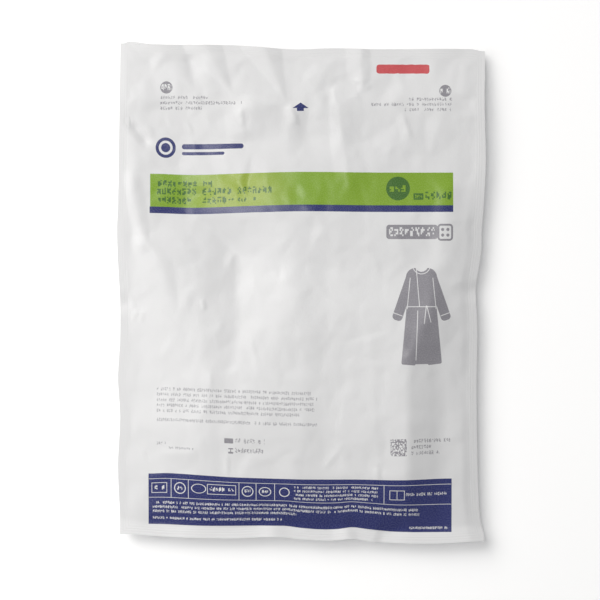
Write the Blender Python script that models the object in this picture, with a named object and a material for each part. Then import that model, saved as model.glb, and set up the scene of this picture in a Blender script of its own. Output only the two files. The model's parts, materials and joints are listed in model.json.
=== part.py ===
"""Sealed film pouch that holds one folded surgical gown.

Two webs of film are sealed to each other round all four edges.  The folded gown lies
between them, so the pouch lies on its back web, its rim lifted a little off the
surface, with an empty header above the gown where the webs run together in waves.

Metres, +Z up.  The pouch lies on z = 0 with its back web down.  +Y runs to the header,
+X to the right hand of someone who looks down on the front web.
"""

import math
from bisect import bisect_right
from collections import namedtuple

import bmesh
import bpy

# Driving dimensions (metres)
POUCH_WIDTH = 0.305
POUCH_LENGTH = 0.416
FILM_WALL = 0.0012          # a solid wall for the film and what it stiffens
SEAM_GAP = 0.0003           # between the two webs where they are sealed
SEAL_WIDTH = 0.009
RIM_LIFT_LEFT = 0.0065      # height of the seam above the surface, at the left seal
RIM_LIFT_RIGHT = 0.0100     # and at the right seal
RIM_DROOP = 0.0022          # the seals hang this much below the seam at their free edge
DROOP_RUN = 0.020
HEADER_LENGTH = 0.046       # the webs lie together this far down from the top edge
TOP_SHOULDER = 0.040        # run of the front web from the header up to its full height
BOTTOM_SHOULDER = 0.050     # and from the bottom seal
BACK_SHOULDER = 0.022       # run of the back web from the seal down to the surface
FOLD_END = 0.012            # a fold dies out over this length at each end

# Cells of the webs' shared grid
SEAL_CELLS = 2
HEADER_CELLS = 6
CELLS_ACROSS = 38
CELLS_ALONG = 41

# The folded gown
GOWN_EDGE = 0.012           # from the seal or the header to the side of the folded gown
GOWN_FOOT = 0.022           # from the bottom seal to its lower side
GOWN_CORNER = 0.018
GOWN_CLEARANCE = 0.0015     # below the lowest of the front web nearby
GOWN_SPANS = (0.010, 0.020) # the front web bridges hollows of the gown this far across
GOWN_SEAT = 0.0004          # above the back web, where that is flat
GOWN_LIFT = 0.0030          # more above it, in full, where that has risen to the seam
GOWN_LEAST = 0.0030         # least thickness, at its side
GOWN_LAYERS = 6
LAYER_BULGE = 0.0009
CORNER_STEPS = 5
SIDE_STEPS = 8
TOP_INSETS = (0.004, 0.010, 0.018, 0.029, 0.043, 0.060, 0.080, 0.102)
UNDERSIDE_INSET = 0.013

SHARP_ANGLE = math.radians(50.0)    # edges sharper than this aren't smoothed
FLAT_TOLERANCE = 1e-7

# Finishes, from the outside in
Finish = namedtuple("Finish", "colour roughness metallic")
FRONT_FILM = Finish((0.84, 0.85, 0.86), 0.45, 0.0)
BACK_FILM = Finish((0.82, 0.84, 0.86), 0.50, 0.0)
GOWN_FABRIC = Finish((0.33, 0.33, 0.36), 0.85, 0.0)

EdgePoint = namedtuple("EdgePoint", "along inset")

# How far each edge lies inside the pouch's box, at places along it
LEFT_EDGE = [
    EdgePoint(-0.200, 0.0025),
    EdgePoint(-0.150, 0.0008),
    EdgePoint(-0.109, 0.0025),
    EdgePoint(-0.076, 0.0008),
    EdgePoint(-0.043, 0.0025),
    EdgePoint(-0.010, 0.0025),
    EdgePoint(0.023, 0.0008),
    EdgePoint(0.048, 0.0000),
    EdgePoint(0.073, 0.0008),
    EdgePoint(0.123, 0.0016),
    EdgePoint(0.206, 0.0025),
]
RIGHT_EDGE = [
    EdgePoint(-0.206, 0.0011),
    EdgePoint(-0.192, 0.0040),
    EdgePoint(-0.175, 0.0056),
    EdgePoint(-0.142, 0.0067),
    EdgePoint(-0.076, 0.0075),
    EdgePoint(-0.026, 0.0068),
    EdgePoint(0.005, 0.0081),
    EdgePoint(0.023, 0.0057),
    EdgePoint(0.040, 0.0034),
    EdgePoint(0.056, 0.0032),
    EdgePoint(0.073, 0.0018),
    EdgePoint(0.114, 0.0000),
    EdgePoint(0.164, 0.0009),
    EdgePoint(0.200, 0.0003),
]
BOTTOM_EDGE = [
    EdgePoint(-0.150, 0.0078),
    EdgePoint(-0.107, 0.0054),
    EdgePoint(-0.057, 0.0043),
    EdgePoint(-0.024, 0.0056),
    EdgePoint(0.009, 0.0029),
    EdgePoint(0.026, 0.0027),
    EdgePoint(0.042, 0.0041),
    EdgePoint(0.059, 0.0016),
    EdgePoint(0.108, 0.0001),
    EdgePoint(0.151, 0.0020),
]
TOP_EDGE = [
    EdgePoint(-0.150, 0.0015),
    EdgePoint(-0.145, 0.0001),
    EdgePoint(-0.124, 0.0025),
    EdgePoint(-0.057, 0.0033),
    EdgePoint(-0.008, 0.0066),
    EdgePoint(0.026, 0.0058),
    EdgePoint(0.059, 0.0066),
    EdgePoint(0.141, 0.0066),
    EdgePoint(0.151, 0.0083),
]

# A fold runs from its lower end (x0, y0) to its upper end (x1, y1).  It falls away over
# "left" and "right" beside that line, and a negative rise makes it a trough.
Fold = namedtuple("Fold", "x0 y0 x1 y1 left right rise0 rise1")

HEADER_FOLDS = [            # in both webs
    Fold(-0.118, 0.140, -0.124, 0.216, 0.024, 0.014, 0.0004, 0.0022),
    Fold(-0.064, 0.150, -0.082, 0.216, 0.013, 0.009, 0.0004, 0.0034),
    Fold(-0.015, 0.140, -0.039, 0.216, 0.016, 0.009, 0.0010, 0.0038),
    Fold(0.002, 0.122, -0.006, 0.216, 0.006, 0.030, 0.0012, 0.0020),
    Fold(0.050, 0.160, 0.049, 0.216, 0.008, 0.006, 0.0004, 0.0021),
    Fold(0.098, 0.140, 0.112, 0.216, 0.030, 0.026, 0.0004, 0.0013),
]
RIM_FOLDS = [               # in both webs, from the bottom and side edges inwards
    Fold(-0.025, -0.222, -0.022, -0.178, 0.014, 0.016, 0.0016, 0.0006),
    Fold(0.041, -0.222, 0.034, -0.176, 0.013, 0.010, 0.0018, 0.0006),
    Fold(0.060, -0.222, 0.078, -0.176, 0.008, 0.020, -0.0014, -0.0004),
    Fold(-0.092, -0.222, -0.088, -0.182, 0.026, 0.026, 0.0010, 0.0004),
    Fold(0.122, -0.002, 0.168, 0.006, 0.010, 0.012, -0.0004, -0.0020),
    Fold(-0.166, -0.014, -0.132, -0.006, 0.012, 0.010, -0.0012, -0.0004),
]
FRONT_FOLDS = [             # in the front web alone, over the gown
    Fold(-0.149, 0.150, -0.122, 0.118, 0.007, 0.007, -0.0008, -0.0008),
    Fold(-0.130, 0.030, -0.142, 0.104, 0.008, 0.010, 0.0010, 0.0012),
    Fold(0.076, 0.136, 0.092, 0.168, 0.018, 0.012, 0.0006, 0.0014),
    Fold(0.118, 0.010, 0.124, 0.096, 0.016, 0.016, 0.0006, 0.0010),
]

# The front web over the gown is drawn up between long creases, from left to right.  Each
# runs from the bottom to the top and rises above the seam.  The web bends at it over
# "softness" to either side.
Crease = namedtuple("Crease", "softness nodes")
CreaseNode = namedtuple("CreaseNode", "y x rise")

LEFT_SHOULDER = Crease(0.009, [
    CreaseNode(-0.151, -0.0810, 0.0125),
    CreaseNode(-0.114, -0.0810, 0.0135),
    CreaseNode(-0.077, -0.0860, 0.0130),
    CreaseNode(-0.035, -0.1000, 0.0120),
    CreaseNode(0.006, -0.1130, 0.0100),
    CreaseNode(0.043, -0.1270, 0.0080),
    CreaseNode(0.105, -0.1260, 0.0065),
    CreaseNode(0.134, -0.1250, 0.0065),
])
GOWN_STEP = Crease(0.003, [
    CreaseNode(-0.151, -0.0700, 0.0128),
    CreaseNode(-0.114, -0.0700, 0.0138),
    CreaseNode(-0.077, -0.0670, 0.0126),
    CreaseNode(-0.035, -0.0590, 0.0102),
    CreaseNode(0.006, -0.0570, 0.0078),
    CreaseNode(0.043, -0.0580, 0.0068),
    CreaseNode(0.072, -0.0930, 0.0060),
    CreaseNode(0.105, -0.0990, 0.0058),
    CreaseNode(0.134, -0.1020, 0.0060),
])
MIDDLE_CREST = Crease(0.018, [
    CreaseNode(-0.151, -0.0260, 0.0154),
    CreaseNode(-0.114, -0.0320, 0.0164),
    CreaseNode(-0.077, -0.0220, 0.0166),
    CreaseNode(-0.035, -0.0090, 0.0166),
    CreaseNode(0.006, -0.0060, 0.0158),
    CreaseNode(0.043, -0.0080, 0.0152),
    CreaseNode(0.105, -0.0110, 0.0140),
    CreaseNode(0.134, -0.0480, 0.0126),
])
MIDDLE_TROUGH = Crease(0.007, [
    CreaseNode(-0.151, 0.0190, 0.0146),
    CreaseNode(-0.114, 0.0180, 0.0149),
    CreaseNode(-0.077, 0.0160, 0.0144),
    CreaseNode(-0.035, 0.0180, 0.0145),
    CreaseNode(0.043, 0.0180, 0.0142),
    CreaseNode(0.105, 0.0080, 0.0137),
    CreaseNode(0.134, -0.0140, 0.0123),
])
RIGHT_CREST = Crease(0.010, [
    CreaseNode(-0.151, 0.0400, 0.0146),
    CreaseNode(-0.077, 0.0340, 0.0152),
    CreaseNode(0.006, 0.0360, 0.0149),
    CreaseNode(0.105, 0.0340, 0.0147),
    CreaseNode(0.134, 0.0330, 0.0152),
])
RIGHT_TROUGH = Crease(0.007, [
    CreaseNode(-0.151, 0.0680, 0.0134),
    CreaseNode(-0.077, 0.0700, 0.0139),
    CreaseNode(0.006, 0.0560, 0.0143),
    CreaseNode(0.105, 0.0470, 0.0135),
    CreaseNode(0.134, 0.0470, 0.0136),
])
THICK_PART_EDGE = Crease(0.004, [
    CreaseNode(-0.151, 0.0840, 0.0138),
    CreaseNode(-0.114, 0.0880, 0.0148),
    CreaseNode(-0.077, 0.0890, 0.0148),
    CreaseNode(-0.035, 0.0900, 0.0145),
    CreaseNode(0.006, 0.0960, 0.0145),
    CreaseNode(0.134, 0.0900, 0.0142),
])
RIGHT_SHOULDER = Crease(0.008, [
    CreaseNode(-0.151, 0.1150, 0.0072),
    CreaseNode(-0.077, 0.1150, 0.0080),
    CreaseNode(-0.035, 0.1130, 0.0118),
    CreaseNode(0.006, 0.1180, 0.0126),
    CreaseNode(0.072, 0.1240, 0.0126),
    CreaseNode(0.134, 0.1360, 0.0126),
])
CREASES = [
    LEFT_SHOULDER, GOWN_STEP, MIDDLE_CREST, MIDDLE_TROUGH,
    RIGHT_CREST, RIGHT_TROUGH, THICK_PART_EDGE, RIGHT_SHOULDER,
]
SEAL_SOFTNESS = 0.003       # of the bend beside each side seal


def clamp(value):
    """Keep a share between 0 and 1."""
    return min(1.0, max(0.0, value))


def eased(share):
    """Soft start and soft end."""
    share = clamp(share)
    return share * share * (3.0 - 2.0 * share)


def shouldered(share):
    """Steep start and soft end, as film drawn over an edge."""
    return math.sin(0.5 * math.pi * clamp(share))


def curve_value(places, values, place):
    """Value at a place on the smooth curve through some values, level at its ends."""
    if place <= places[0]:
        return values[0]
    if place >= places[-1]:
        return values[-1]
    k = bisect_right(places, place) - 1
    step = places[k + 1] - places[k]
    share = (place - places[k]) / step
    tangents = []
    for end in (k, k + 1):
        if 0 < end < len(places) - 1:
            change = values[end + 1] - values[end - 1]
            tangents.append(step * change / (places[end + 1] - places[end - 1]))
        else:
            tangents.append(0.0)
    rest = 1.0 - share
    return (
        values[k] * (1.0 + 2.0 * share) * rest * rest
        + values[k + 1] * (3.0 - 2.0 * share) * share * share
        + tangents[0] * share * rest * rest
        - tangents[1] * rest * share * share
    )


def edge_inset(edge, along):
    """Inset of an edge at a place along it."""
    places = [point.along for point in edge]
    return curve_value(places, [point.inset for point in edge], along)


def pouch_point(u, v):
    """Place of a grid point, with u across from the left and v along from the bottom."""
    along = (v - 0.5) * POUCH_LENGTH
    across = (u - 0.5) * POUCH_WIDTH
    left = -0.5 * POUCH_WIDTH + edge_inset(LEFT_EDGE, along)
    right = 0.5 * POUCH_WIDTH - edge_inset(RIGHT_EDGE, along)
    bottom = -0.5 * POUCH_LENGTH + edge_inset(BOTTOM_EDGE, across)
    top = 0.5 * POUCH_LENGTH - edge_inset(TOP_EDGE, across)
    return left + u * (right - left), bottom + v * (top - bottom)


def rim_distances(x, y):
    """Distances of a point inside the left, right, bottom and top edges."""
    left = x + 0.5 * POUCH_WIDTH - edge_inset(LEFT_EDGE, y)
    right = 0.5 * POUCH_WIDTH - edge_inset(RIGHT_EDGE, y) - x
    bottom = y + 0.5 * POUCH_LENGTH - edge_inset(BOTTOM_EDGE, x)
    top = 0.5 * POUCH_LENGTH - edge_inset(TOP_EDGE, x) - y
    return left, right, bottom, top


def fold_height(fold, x, y):
    """Height that one fold adds at a point."""
    run_x = fold.x1 - fold.x0
    run_y = fold.y1 - fold.y0
    length = math.hypot(run_x, run_y)
    along = ((x - fold.x0) * run_x + (y - fold.y0) * run_y) / length
    across = ((x - fold.x0) * run_y - (y - fold.y0) * run_x) / length
    reach = fold.right if across > 0.0 else fold.left
    if along <= 0.0 or along >= length or abs(across) >= reach:
        return 0.0
    rise = fold.rise0 + (fold.rise1 - fold.rise0) * along / length
    ends = eased(along / FOLD_END) * eased((length - along) / FOLD_END)
    return rise * ends * eased(1.0 - abs(across) / reach)


def folds_height(folds, x, y):
    """Height that a group of folds adds at a point."""
    return sum(fold_height(fold, x, y) for fold in folds)


def soft_ramp(distance, softness):
    """Nothing before a crease and the distance past it, eased over the crease's softness."""
    if distance <= -softness:
        return 0.0
    if distance >= softness:
        return distance
    return (distance + softness) ** 2 / (4.0 * softness)


def crease_section(x, y):
    """Rise of the front web at a point, as strips drawn straight from crease to crease."""
    left, right, _, _ = rim_distances(x, y)
    bends = [(x - left + SEAL_WIDTH, 0.0, SEAL_SOFTNESS)]
    for crease in CREASES:
        places = [node.y for node in crease.nodes]
        across = curve_value(places, [node.x for node in crease.nodes], y)
        rise = curve_value(places, [node.rise for node in crease.nodes], y)
        bends.append((across, rise, crease.softness))
    bends.append((x + right - SEAL_WIDTH, 0.0, SEAL_SOFTNESS))
    rise = 0.0
    slope = 0.0
    for index, (across, height, softness) in enumerate(bends):
        following = 0.0
        if index < len(bends) - 1:
            next_across, next_height, _ = bends[index + 1]
            following = (next_height - height) / (next_across - across)
        rise += (following - slope) * soft_ramp(x - across, softness)
        slope = following
    return rise


def front_rise(x, y):
    """Rise of the front web above the seam at a point."""
    _, _, bottom, top = rim_distances(x, y)
    fullness = shouldered((bottom - SEAL_WIDTH) / BOTTOM_SHOULDER)
    fullness *= shouldered((top - HEADER_LENGTH) / TOP_SHOULDER)
    if fullness <= 0.0:
        return 0.0
    folds = folds_height(FRONT_FOLDS, x, y)
    return max(0.0, fullness * (crease_section(x, y) + folds))


def back_fullness(x, y):
    """Share of the full drop to the surface that the back web has at a point."""
    left, right, bottom, top = rim_distances(x, y)
    return (
        shouldered((left - SEAL_WIDTH) / BACK_SHOULDER)
        * shouldered((right - SEAL_WIDTH) / BACK_SHOULDER)
        * shouldered((bottom - SEAL_WIDTH) / BACK_SHOULDER)
        * shouldered((top - HEADER_LENGTH) / BACK_SHOULDER)
    )


def seam_height(x, y):
    """Height of the surface between the two webs where they lie together."""
    share = 0.5 + x / POUCH_WIDTH
    lift = RIM_LIFT_LEFT + share * (RIM_LIFT_RIGHT - RIM_LIFT_LEFT)
    droop = RIM_DROOP * (1.0 - eased(min(rim_distances(x, y)) / DROOP_RUN))
    return lift - droop + folds_height(HEADER_FOLDS + RIM_FOLDS, x, y)


def front_inner(x, y):
    """Underside of the front web."""
    return seam_height(x, y) + 0.5 * SEAM_GAP + front_rise(x, y)


def back_inner(x, y):
    """Upper side of the back web."""
    seam = seam_height(x, y) - 0.5 * SEAM_GAP
    return seam + back_fullness(x, y) * (FILM_WALL - seam)


def grid_shares(length, stretches):
    """Shares along one side of the pouch, even within each stretch (its end, its cells)."""
    shares = [0.0]
    start = 0.0
    for end, cells in stretches:
        shares += [(start + (end - start) * (cell + 1) / cells) / length for cell in range(cells)]
        start = end
    return shares


def finish_object(name, bm, finish):
    """Turn a bmesh into a named object with its own material."""
    mesh = bpy.data.meshes.new(name)
    bm.to_mesh(mesh)
    bm.free()
    mesh.shade_smooth()
    mesh.set_sharp_from_angle(angle=SHARP_ANGLE)
    part = bpy.data.objects.new(name, mesh)
    bpy.context.scene.collection.objects.link(part)
    material = bpy.data.materials.new(name)
    material.use_nodes = True
    shader = material.node_tree.nodes["Principled BSDF"]
    shader.inputs["Base Color"].default_value = (*finish.colour, 1.0)
    shader.inputs["Roughness"].default_value = finish.roughness
    shader.inputs["Metallic"].default_value = finish.metallic
    mesh.materials.append(material)


def web_bmesh(upper, lower):
    """A closed wall over the whole pouch between two height functions."""
    bm = bmesh.new()
    across = grid_shares(POUCH_WIDTH, [
        (SEAL_WIDTH, SEAL_CELLS),
        (POUCH_WIDTH - SEAL_WIDTH, CELLS_ACROSS),
        (POUCH_WIDTH, SEAL_CELLS),
    ])
    along = grid_shares(POUCH_LENGTH, [
        (SEAL_WIDTH, SEAL_CELLS),
        (POUCH_LENGTH - HEADER_LENGTH, CELLS_ALONG),
        (POUCH_LENGTH - SEAL_WIDTH, HEADER_CELLS),
        (POUCH_LENGTH, SEAL_CELLS),
    ])
    rows = {upper: [], lower: []}
    for height, lattice in rows.items():
        for v in along:
            places = [pouch_point(u, v) for u in across]
            lattice.append([bm.verts.new((x, y, height(x, y))) for x, y in places])
    above = rows[upper]
    below = rows[lower]
    for j in range(len(along) - 1):
        for i in range(len(across) - 1):
            bm.faces.new((above[j][i], above[j][i + 1], above[j + 1][i + 1], above[j + 1][i]))
            bm.faces.new((below[j][i], below[j + 1][i], below[j + 1][i + 1], below[j][i + 1]))
    rim = [(0, i) for i in range(len(across) - 1)]
    rim += [(j, len(across) - 1) for j in range(len(along) - 1)]
    rim += [(len(along) - 1, i) for i in range(len(across) - 1, 0, -1)]
    rim += [(j, 0) for j in range(len(along) - 1, 0, -1)]
    for (j0, i0), (j1, i1) in zip(rim, rim[1:] + rim[:1]):
        bm.faces.new((below[j0][i0], below[j1][i1], above[j1][i1], above[j0][i0]))
    return bm


def merge_flat_faces(bm, height):
    """Join the faces that lie flat at one height into one."""
    flat = []
    for face in bm.faces:
        if all(abs(vert.co.z - height) < FLAT_TOLERANCE for vert in face.verts):
            flat.append(face)
    bmesh.ops.dissolve_faces(bm, faces=flat, use_verts=True)


def make_front_web():
    """The upper web of white film, drawn over the gown and creased."""
    def upper(x, y):
        return front_inner(x, y) + FILM_WALL

    bm = web_bmesh(upper, front_inner)
    finish_object("front_web", bm, FRONT_FILM)


def make_back_web():
    """The lower web of film, flat on the surface and turned up to the seals."""
    def lower(x, y):
        return back_inner(x, y) - FILM_WALL

    bm = web_bmesh(back_inner, lower)
    merge_flat_faces(bm, FILM_WALL)
    merge_flat_faces(bm, 0.0)
    finish_object("back_web", bm, BACK_FILM)


def deepest_inset(edge):
    """Largest inset along an edge."""
    return max(point.inset for point in edge)


def gown_outline(inset):
    """Points round the folded gown, a rectangle with round corners, anticlockwise."""
    edge = SEAL_WIDTH + GOWN_EDGE + inset
    x_low = -0.5 * POUCH_WIDTH + edge + deepest_inset(LEFT_EDGE)
    x_high = 0.5 * POUCH_WIDTH - edge - deepest_inset(RIGHT_EDGE)
    foot = SEAL_WIDTH + GOWN_FOOT + inset
    y_low = -0.5 * POUCH_LENGTH + foot + deepest_inset(BOTTOM_EDGE)
    header = HEADER_LENGTH + GOWN_EDGE + inset
    y_high = 0.5 * POUCH_LENGTH - header - deepest_inset(TOP_EDGE)
    radius = max(0.004, GOWN_CORNER - 0.5 * inset)
    corners = [
        (x_high - radius, y_low + radius, -90.0),
        (x_high - radius, y_high - radius, 0.0),
        (x_low + radius, y_high - radius, 90.0),
        (x_low + radius, y_low + radius, 180.0),
    ]
    turned = []
    for x, y, start in corners:
        for step in range(CORNER_STEPS + 1):
            angle = math.radians(start + 90.0 * step / CORNER_STEPS)
            turned.append((x + radius * math.cos(angle), y + radius * math.sin(angle)))
    points = []
    for index, point in enumerate(turned):
        points.append(point)
        following = turned[(index + 1) % len(turned)]
        if (index + 1) % (CORNER_STEPS + 1) == 0:
            for step in range(1, SIDE_STEPS):
                share = step / SIDE_STEPS
                x = point[0] + share * (following[0] - point[0])
                y = point[1] + share * (following[1] - point[1])
                points.append((x, y))
    return points


def gown_ceiling(x, y):
    """Lowest height of the front web's underside at a point and near it."""
    heights = [front_inner(x, y)]
    for span in GOWN_SPANS:
        for turn in range(8):
            angle = 0.25 * math.pi * turn
            heights.append(front_inner(x + span * math.cos(angle), y + span * math.sin(angle)))
    return min(heights)


def gown_height(x, y, share):
    """Height in the folded gown: share 0 on the back web, 1 under the front web."""
    low = back_inner(x, y) + GOWN_SEAT + GOWN_LIFT * (1.0 - back_fullness(x, y))
    high = max(low + GOWN_LEAST, gown_ceiling(x, y) - GOWN_CLEARANCE)
    return low + share * (high - low)


def gown_sections():
    """Inset and height share of each ring, from the underside up and in over the top."""
    sections = [(UNDERSIDE_INSET, 0.0), (0.004, 0.0)]
    for layer in range(GOWN_LAYERS):
        sections.append((0.0, (layer + 0.20) / GOWN_LAYERS))
        sections.append((-LAYER_BULGE, (layer + 0.50) / GOWN_LAYERS))
        sections.append((0.0, (layer + 0.80) / GOWN_LAYERS))
        if layer < GOWN_LAYERS - 1:
            sections.append((LAYER_BULGE, (layer + 1.0) / GOWN_LAYERS))
    sections += [(inset, 1.0) for inset in TOP_INSETS]
    return sections


def make_folded_gown():
    """The folded gown: one rounded stack whose layers show at its sides."""
    bm = bmesh.new()
    rings = []
    for inset, share in gown_sections():
        places = gown_outline(inset)
        rings.append([bm.verts.new((x, y, gown_height(x, y, share))) for x, y in places])
    count = len(rings[0])
    for lower, upper in zip(rings, rings[1:]):
        for i in range(count):
            k = (i + 1) % count
            bm.faces.new((lower[i], lower[k], upper[k], upper[i]))
    bm.faces.new(list(reversed(rings[0])))
    bm.faces.new(rings[-1])
    finish_object("folded_gown", bm, GOWN_FABRIC)


def build():
    """Clear the scene and make the three pieces."""
    for old in list(bpy.data.objects):
        bpy.data.objects.remove(old, do_unlink=True)
    make_back_web()
    make_folded_gown()
    make_front_web()


build()
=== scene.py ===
"""Sealed pouch of white film with a folded surgical gown inside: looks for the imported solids.

Metres, +Z up.  The pouch lies on z = 0 on its back film.  +Y runs to the header, +X to the
right hand of someone who looks down on the front film.
"""

import json
import math
from collections import namedtuple

import bpy
import numpy as np
from bpy.props import FloatProperty, FloatVectorProperty, PointerProperty
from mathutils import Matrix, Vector
from mathutils.geometry import delaunay_2d_cdt

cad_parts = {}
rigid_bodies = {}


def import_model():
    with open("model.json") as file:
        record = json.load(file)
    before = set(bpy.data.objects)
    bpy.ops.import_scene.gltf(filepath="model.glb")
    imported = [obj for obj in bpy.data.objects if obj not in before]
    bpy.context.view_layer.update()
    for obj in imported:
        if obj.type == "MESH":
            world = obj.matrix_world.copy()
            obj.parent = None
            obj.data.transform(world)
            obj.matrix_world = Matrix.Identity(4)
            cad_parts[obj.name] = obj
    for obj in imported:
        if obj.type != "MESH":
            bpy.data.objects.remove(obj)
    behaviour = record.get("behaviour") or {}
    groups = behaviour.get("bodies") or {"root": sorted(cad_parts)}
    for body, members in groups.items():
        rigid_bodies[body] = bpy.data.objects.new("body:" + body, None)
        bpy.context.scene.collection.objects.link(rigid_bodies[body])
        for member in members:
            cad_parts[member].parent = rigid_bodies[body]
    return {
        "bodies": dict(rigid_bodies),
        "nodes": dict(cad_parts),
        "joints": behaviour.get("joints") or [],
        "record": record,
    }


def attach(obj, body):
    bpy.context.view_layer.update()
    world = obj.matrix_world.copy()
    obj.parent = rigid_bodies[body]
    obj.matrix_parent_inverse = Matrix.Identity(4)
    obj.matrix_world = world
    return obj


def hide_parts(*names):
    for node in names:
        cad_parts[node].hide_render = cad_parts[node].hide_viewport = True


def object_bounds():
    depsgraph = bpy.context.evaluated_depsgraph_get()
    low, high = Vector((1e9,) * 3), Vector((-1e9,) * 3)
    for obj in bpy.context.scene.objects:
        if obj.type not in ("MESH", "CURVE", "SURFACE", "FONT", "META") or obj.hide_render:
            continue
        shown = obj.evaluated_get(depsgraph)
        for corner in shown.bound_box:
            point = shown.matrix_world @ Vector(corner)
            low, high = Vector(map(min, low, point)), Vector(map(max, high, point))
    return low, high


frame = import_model()
CAD_LOW, CAD_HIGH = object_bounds()

bl_info = {
    "name": "Surgical gown pouch",
    "version": (1, 0, 0),
    "blender": (4, 5, 0),
    "location": "3D View > Sidebar > Pouch",
    "description": "Films, folded gown and studio stage of a sealed gown pouch",
    "category": "Object",
}

# Form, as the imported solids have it
POUCH_WIDTH = round(CAD_HIGH.x - CAD_LOW.x, 3)
POUCH_LENGTH = round(CAD_HIGH.y - CAD_LOW.y, 3)
SOLID_WALL = 0.0012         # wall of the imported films
SEAL_WIDTH = 0.009
RIM_LIFT_LEFT = 0.0095      # height of the seam above the surface, at the left seal
RIM_LIFT_RIGHT = 0.0120     # and at the right seal
RIM_DROOPS = (0.0004, 0.0022, -0.0018, 0.0)    # of the free edges: left, right, bottom, top
RIGHT_DROOP_END = (0.040, 0.110)    # the right edge stops drooping between these heights
DROOP_RUN = 0.012           # from the edge inwards
HEADER_FALL = 0.0050        # the empty header sinks towards the surface at the top edge
HEADER_BEND = 0.008         # and bends down over this length to either side of its lower end
HEADER_LENGTH = 0.046       # the films lie together this far down from the top edge
TOP_SHOULDER = 0.040        # run of the front film from the header up to its full height
BOTTOM_SHOULDER = 0.050     # and from the bottom seal
BACK_SHOULDER = 0.022       # run of the back film from the seal down to the surface
FOLD_END = 0.012            # a fold dies out over this length at each end
FULL_RISE = 0.0133          # of the front film above the seam, where it is highest
FILMS_APART = 0.00004       # between the two films where they are sealed

# Seals
RIB_PITCH = 0.0020
RIB_HEIGHT = 0.00005
RIB_MARGIN = 0.0010         # plain film outside the outermost rib

# Mesh
SEAL_CELL = 0.0005
INNER_STEP = 2              # the unseen face has every so many of the seen face's lines
RIM_ANGLE = math.radians(50.0)      # an edge sharper than this isn't smoothed
BAKE_MARGIN = 0.002         # bare border of the map that materials are baked in
UNSEEN_SHARE = 0.060        # of that map's height, for the unseen face

EdgePoint = namedtuple("EdgePoint", "along inset")

# How far each edge lies inside the pouch's box, at places along it
LEFT_EDGE = [
    EdgePoint(-0.200, 0.0025), EdgePoint(-0.150, 0.0008), EdgePoint(-0.109, 0.0025),
    EdgePoint(-0.076, 0.0008), EdgePoint(-0.043, 0.0025), EdgePoint(-0.010, 0.0025),
    EdgePoint(0.023, 0.0008), EdgePoint(0.048, 0.0000), EdgePoint(0.073, 0.0008),
    EdgePoint(0.123, 0.0016), EdgePoint(0.206, 0.0025),
]
RIGHT_EDGE = [
    EdgePoint(-0.206, 0.0011), EdgePoint(-0.192, 0.0040), EdgePoint(-0.175, 0.0056),
    EdgePoint(-0.142, 0.0067), EdgePoint(-0.076, 0.0075), EdgePoint(-0.026, 0.0068),
    EdgePoint(0.005, 0.0081), EdgePoint(0.023, 0.0057), EdgePoint(0.040, 0.0034),
    EdgePoint(0.056, 0.0032), EdgePoint(0.073, 0.0018), EdgePoint(0.114, 0.0000),
    EdgePoint(0.164, 0.0009), EdgePoint(0.200, 0.0003),
]
BOTTOM_EDGE = [
    EdgePoint(-0.150, 0.0078), EdgePoint(-0.107, 0.0054), EdgePoint(-0.057, 0.0043),
    EdgePoint(-0.024, 0.0056), EdgePoint(0.009, 0.0029), EdgePoint(0.026, 0.0027),
    EdgePoint(0.042, 0.0041), EdgePoint(0.059, 0.0016), EdgePoint(0.108, 0.0001),
    EdgePoint(0.151, 0.0020),
]
TOP_EDGE = [
    EdgePoint(-0.150, 0.0015), EdgePoint(-0.145, 0.0001), EdgePoint(-0.124, 0.0025),
    EdgePoint(-0.057, 0.0033), EdgePoint(-0.008, 0.0066), EdgePoint(0.026, 0.0058),
    EdgePoint(0.059, 0.0066), EdgePoint(0.141, 0.0066), EdgePoint(0.151, 0.0083),
]

# A fold runs from its lower end (x0, y0) to its upper end (x1, y1).  It falls away over
# "left" and "right" beside that line, and a negative rise makes it a trough.
Fold = namedtuple("Fold", "x0 y0 x1 y1 left right rise0 rise1")

HEADER_FOLDS = [            # soft, in both films
    Fold(0.098, 0.140, 0.112, 0.216, 0.030, 0.026, 0.0002, 0.0006),
]
RIM_FOLDS = [               # soft, in both films, from the bottom and side edges inwards
    Fold(-0.025, -0.222, -0.022, -0.178, 0.014, 0.016, 0.0016, 0.0006),
    Fold(0.041, -0.222, 0.034, -0.176, 0.013, 0.010, 0.0018, 0.0006),
    Fold(0.060, -0.222, 0.078, -0.176, 0.008, 0.020, -0.0014, -0.0004),
    Fold(-0.092, -0.222, -0.088, -0.182, 0.026, 0.026, 0.0010, 0.0004),
    Fold(0.122, -0.002, 0.168, 0.006, 0.010, 0.012, -0.0004, -0.0020),
    Fold(-0.166, -0.014, -0.132, -0.006, 0.012, 0.010, -0.0012, -0.0004),
]
FRONT_FOLDS = [             # soft, in the front film alone, over the gown
    Fold(-0.149, 0.150, -0.122, 0.118, 0.007, 0.007, -0.0008, -0.0008),
    Fold(-0.130, 0.030, -0.142, 0.104, 0.008, 0.010, 0.0010, 0.0012),
    Fold(0.076, 0.136, 0.092, 0.168, 0.018, 0.012, 0.0006, 0.0014),
    Fold(0.118, 0.010, 0.124, 0.096, 0.016, 0.016, 0.0006, 0.0010),
]

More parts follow.
